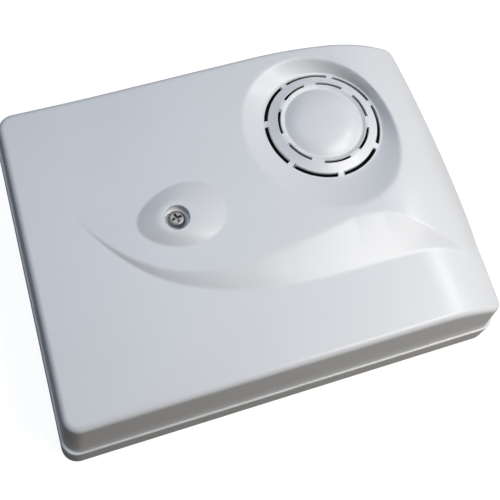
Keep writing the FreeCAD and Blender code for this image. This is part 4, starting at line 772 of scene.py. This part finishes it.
def area_light(name, spot, aim, size, power, colour, roll=0.0):
    """A rectangular lamp that faces a spot, rolled about the line to it."""
    data = bpy.data.lights.new(name, "AREA")
    data.shape = "RECTANGLE"
    data.size, data.size_y = size
    data.energy = power
    data.color = colour
    lamp = bpy.data.objects.new(name, data)
    bpy.context.scene.collection.objects.link(lamp)
    facing = (Vector(aim) - Vector(spot)).to_track_quat("-Z", "Y").to_matrix().to_4x4()
    lamp.matrix_world = Matrix.Translation(spot) @ facing @ Matrix.Rotation(math.radians(roll), 4, "Z")


def background_share(tree):
    """1 for rays from the camera and for those that a shiny or clear surface passes on, 0 for others."""
    ray = tree.nodes.new("ShaderNodeLightPath")
    share = ray.outputs["Is Camera Ray"]
    for kind in ("Is Glossy Ray", "Is Transmission Ray"):
        larger = tree.nodes.new("ShaderNodeMath")
        larger.operation = "MAXIMUM"
        tree.links.new(share, larger.inputs[0])
        tree.links.new(ray.outputs[kind], larger.inputs[1])
        share = larger.outputs[0]
    return share


def make_world():
    """White behind the object, and a dim light on it from all round."""
    world = bpy.data.worlds.new("studio")
    bpy.context.scene.world = world
    world.use_nodes = True
    tree = world.node_tree
    tree.nodes.clear()
    out = tree.nodes.new("ShaderNodeOutputWorld")
    mix = tree.nodes.new("ShaderNodeMixShader")
    dim = tree.nodes.new("ShaderNodeBackground")
    dim.inputs["Color"].default_value = WORLD_DIM
    dim.inputs["Strength"].default_value = WORLD_STRENGTH
    white = tree.nodes.new("ShaderNodeBackground")
    white.inputs["Color"].default_value = WHITE
    white.inputs["Strength"].default_value = 1.0
    tree.links.new(background_share(tree), mix.inputs["Fac"])
    tree.links.new(dim.outputs[0], mix.inputs[1])
    tree.links.new(white.outputs[0], mix.inputs[2])
    tree.links.new(mix.outputs[0], out.inputs["Surface"])


def floor_paper():
    """White to the camera, with the lamps' light and the object's shadow on it, and dull to other rays."""
    material = bpy.data.materials.new("floor_paper")
    material.use_nodes = True
    tree = material.node_tree
    tree.nodes.clear()
    out = tree.nodes.new("ShaderNodeOutputMaterial")
    seen = tree.nodes.new("ShaderNodeAddShader")
    lit = tree.nodes.new("ShaderNodeBsdfDiffuse")
    lit.inputs["Color"].default_value = FLOOR_LIT
    glow = tree.nodes.new("ShaderNodeEmission")
    place = tree.nodes.new("ShaderNodeTexCoord")
    away = tree.nodes.new("ShaderNodeVectorMath")
    away.operation = "LENGTH"
    fade = tree.nodes.new("ShaderNodeMapRange")
    for socket, value in zip(("From Min", "From Max", "To Min", "To Max"), FLOOR_FADE):
        fade.inputs[socket].default_value = value
    tree.links.new(place.outputs["Object"], away.inputs[0])
    tree.links.new(away.outputs["Value"], fade.inputs["Value"])
    tree.links.new(fade.outputs["Result"], glow.inputs["Strength"])
    plain = tree.nodes.new("ShaderNodeBsdfDiffuse")
    plain.inputs["Color"].default_value = FLOOR_PLAIN
    mix = tree.nodes.new("ShaderNodeMixShader")
    ray = tree.nodes.new("ShaderNodeLightPath")
    tree.links.new(lit.outputs[0], seen.inputs[0])
    tree.links.new(glow.outputs[0], seen.inputs[1])
    tree.links.new(ray.outputs["Is Camera Ray"], mix.inputs["Fac"])
    tree.links.new(plain.outputs[0], mix.inputs[1])
    tree.links.new(seen.outputs[0], mix.inputs[2])
    tree.links.new(mix.outputs[0], out.inputs["Surface"])
    return material


def make_floor():
    """A pale floor just below the back face."""
    corners = [(x * FLOOR_HALF, y * FLOOR_HALF, -FLOOR_DROP) for x, y in ((-1, -1), (1, -1), (1, 1), (-1, 1))]
    mesh = bpy.data.meshes.new("floor")
    mesh.from_pydata(corners, [], [(0, 1, 2, 3)])
    mesh.materials.append(floor_paper())
    floor = bpy.data.objects.new("floor", mesh)
    bpy.context.scene.collection.objects.link(floor)


for name, lamp in LAMPS.items():
    area_light(name, **lamp)
make_world()
bpy.context.scene.view_settings.view_transform = "Standard"
make_floor()
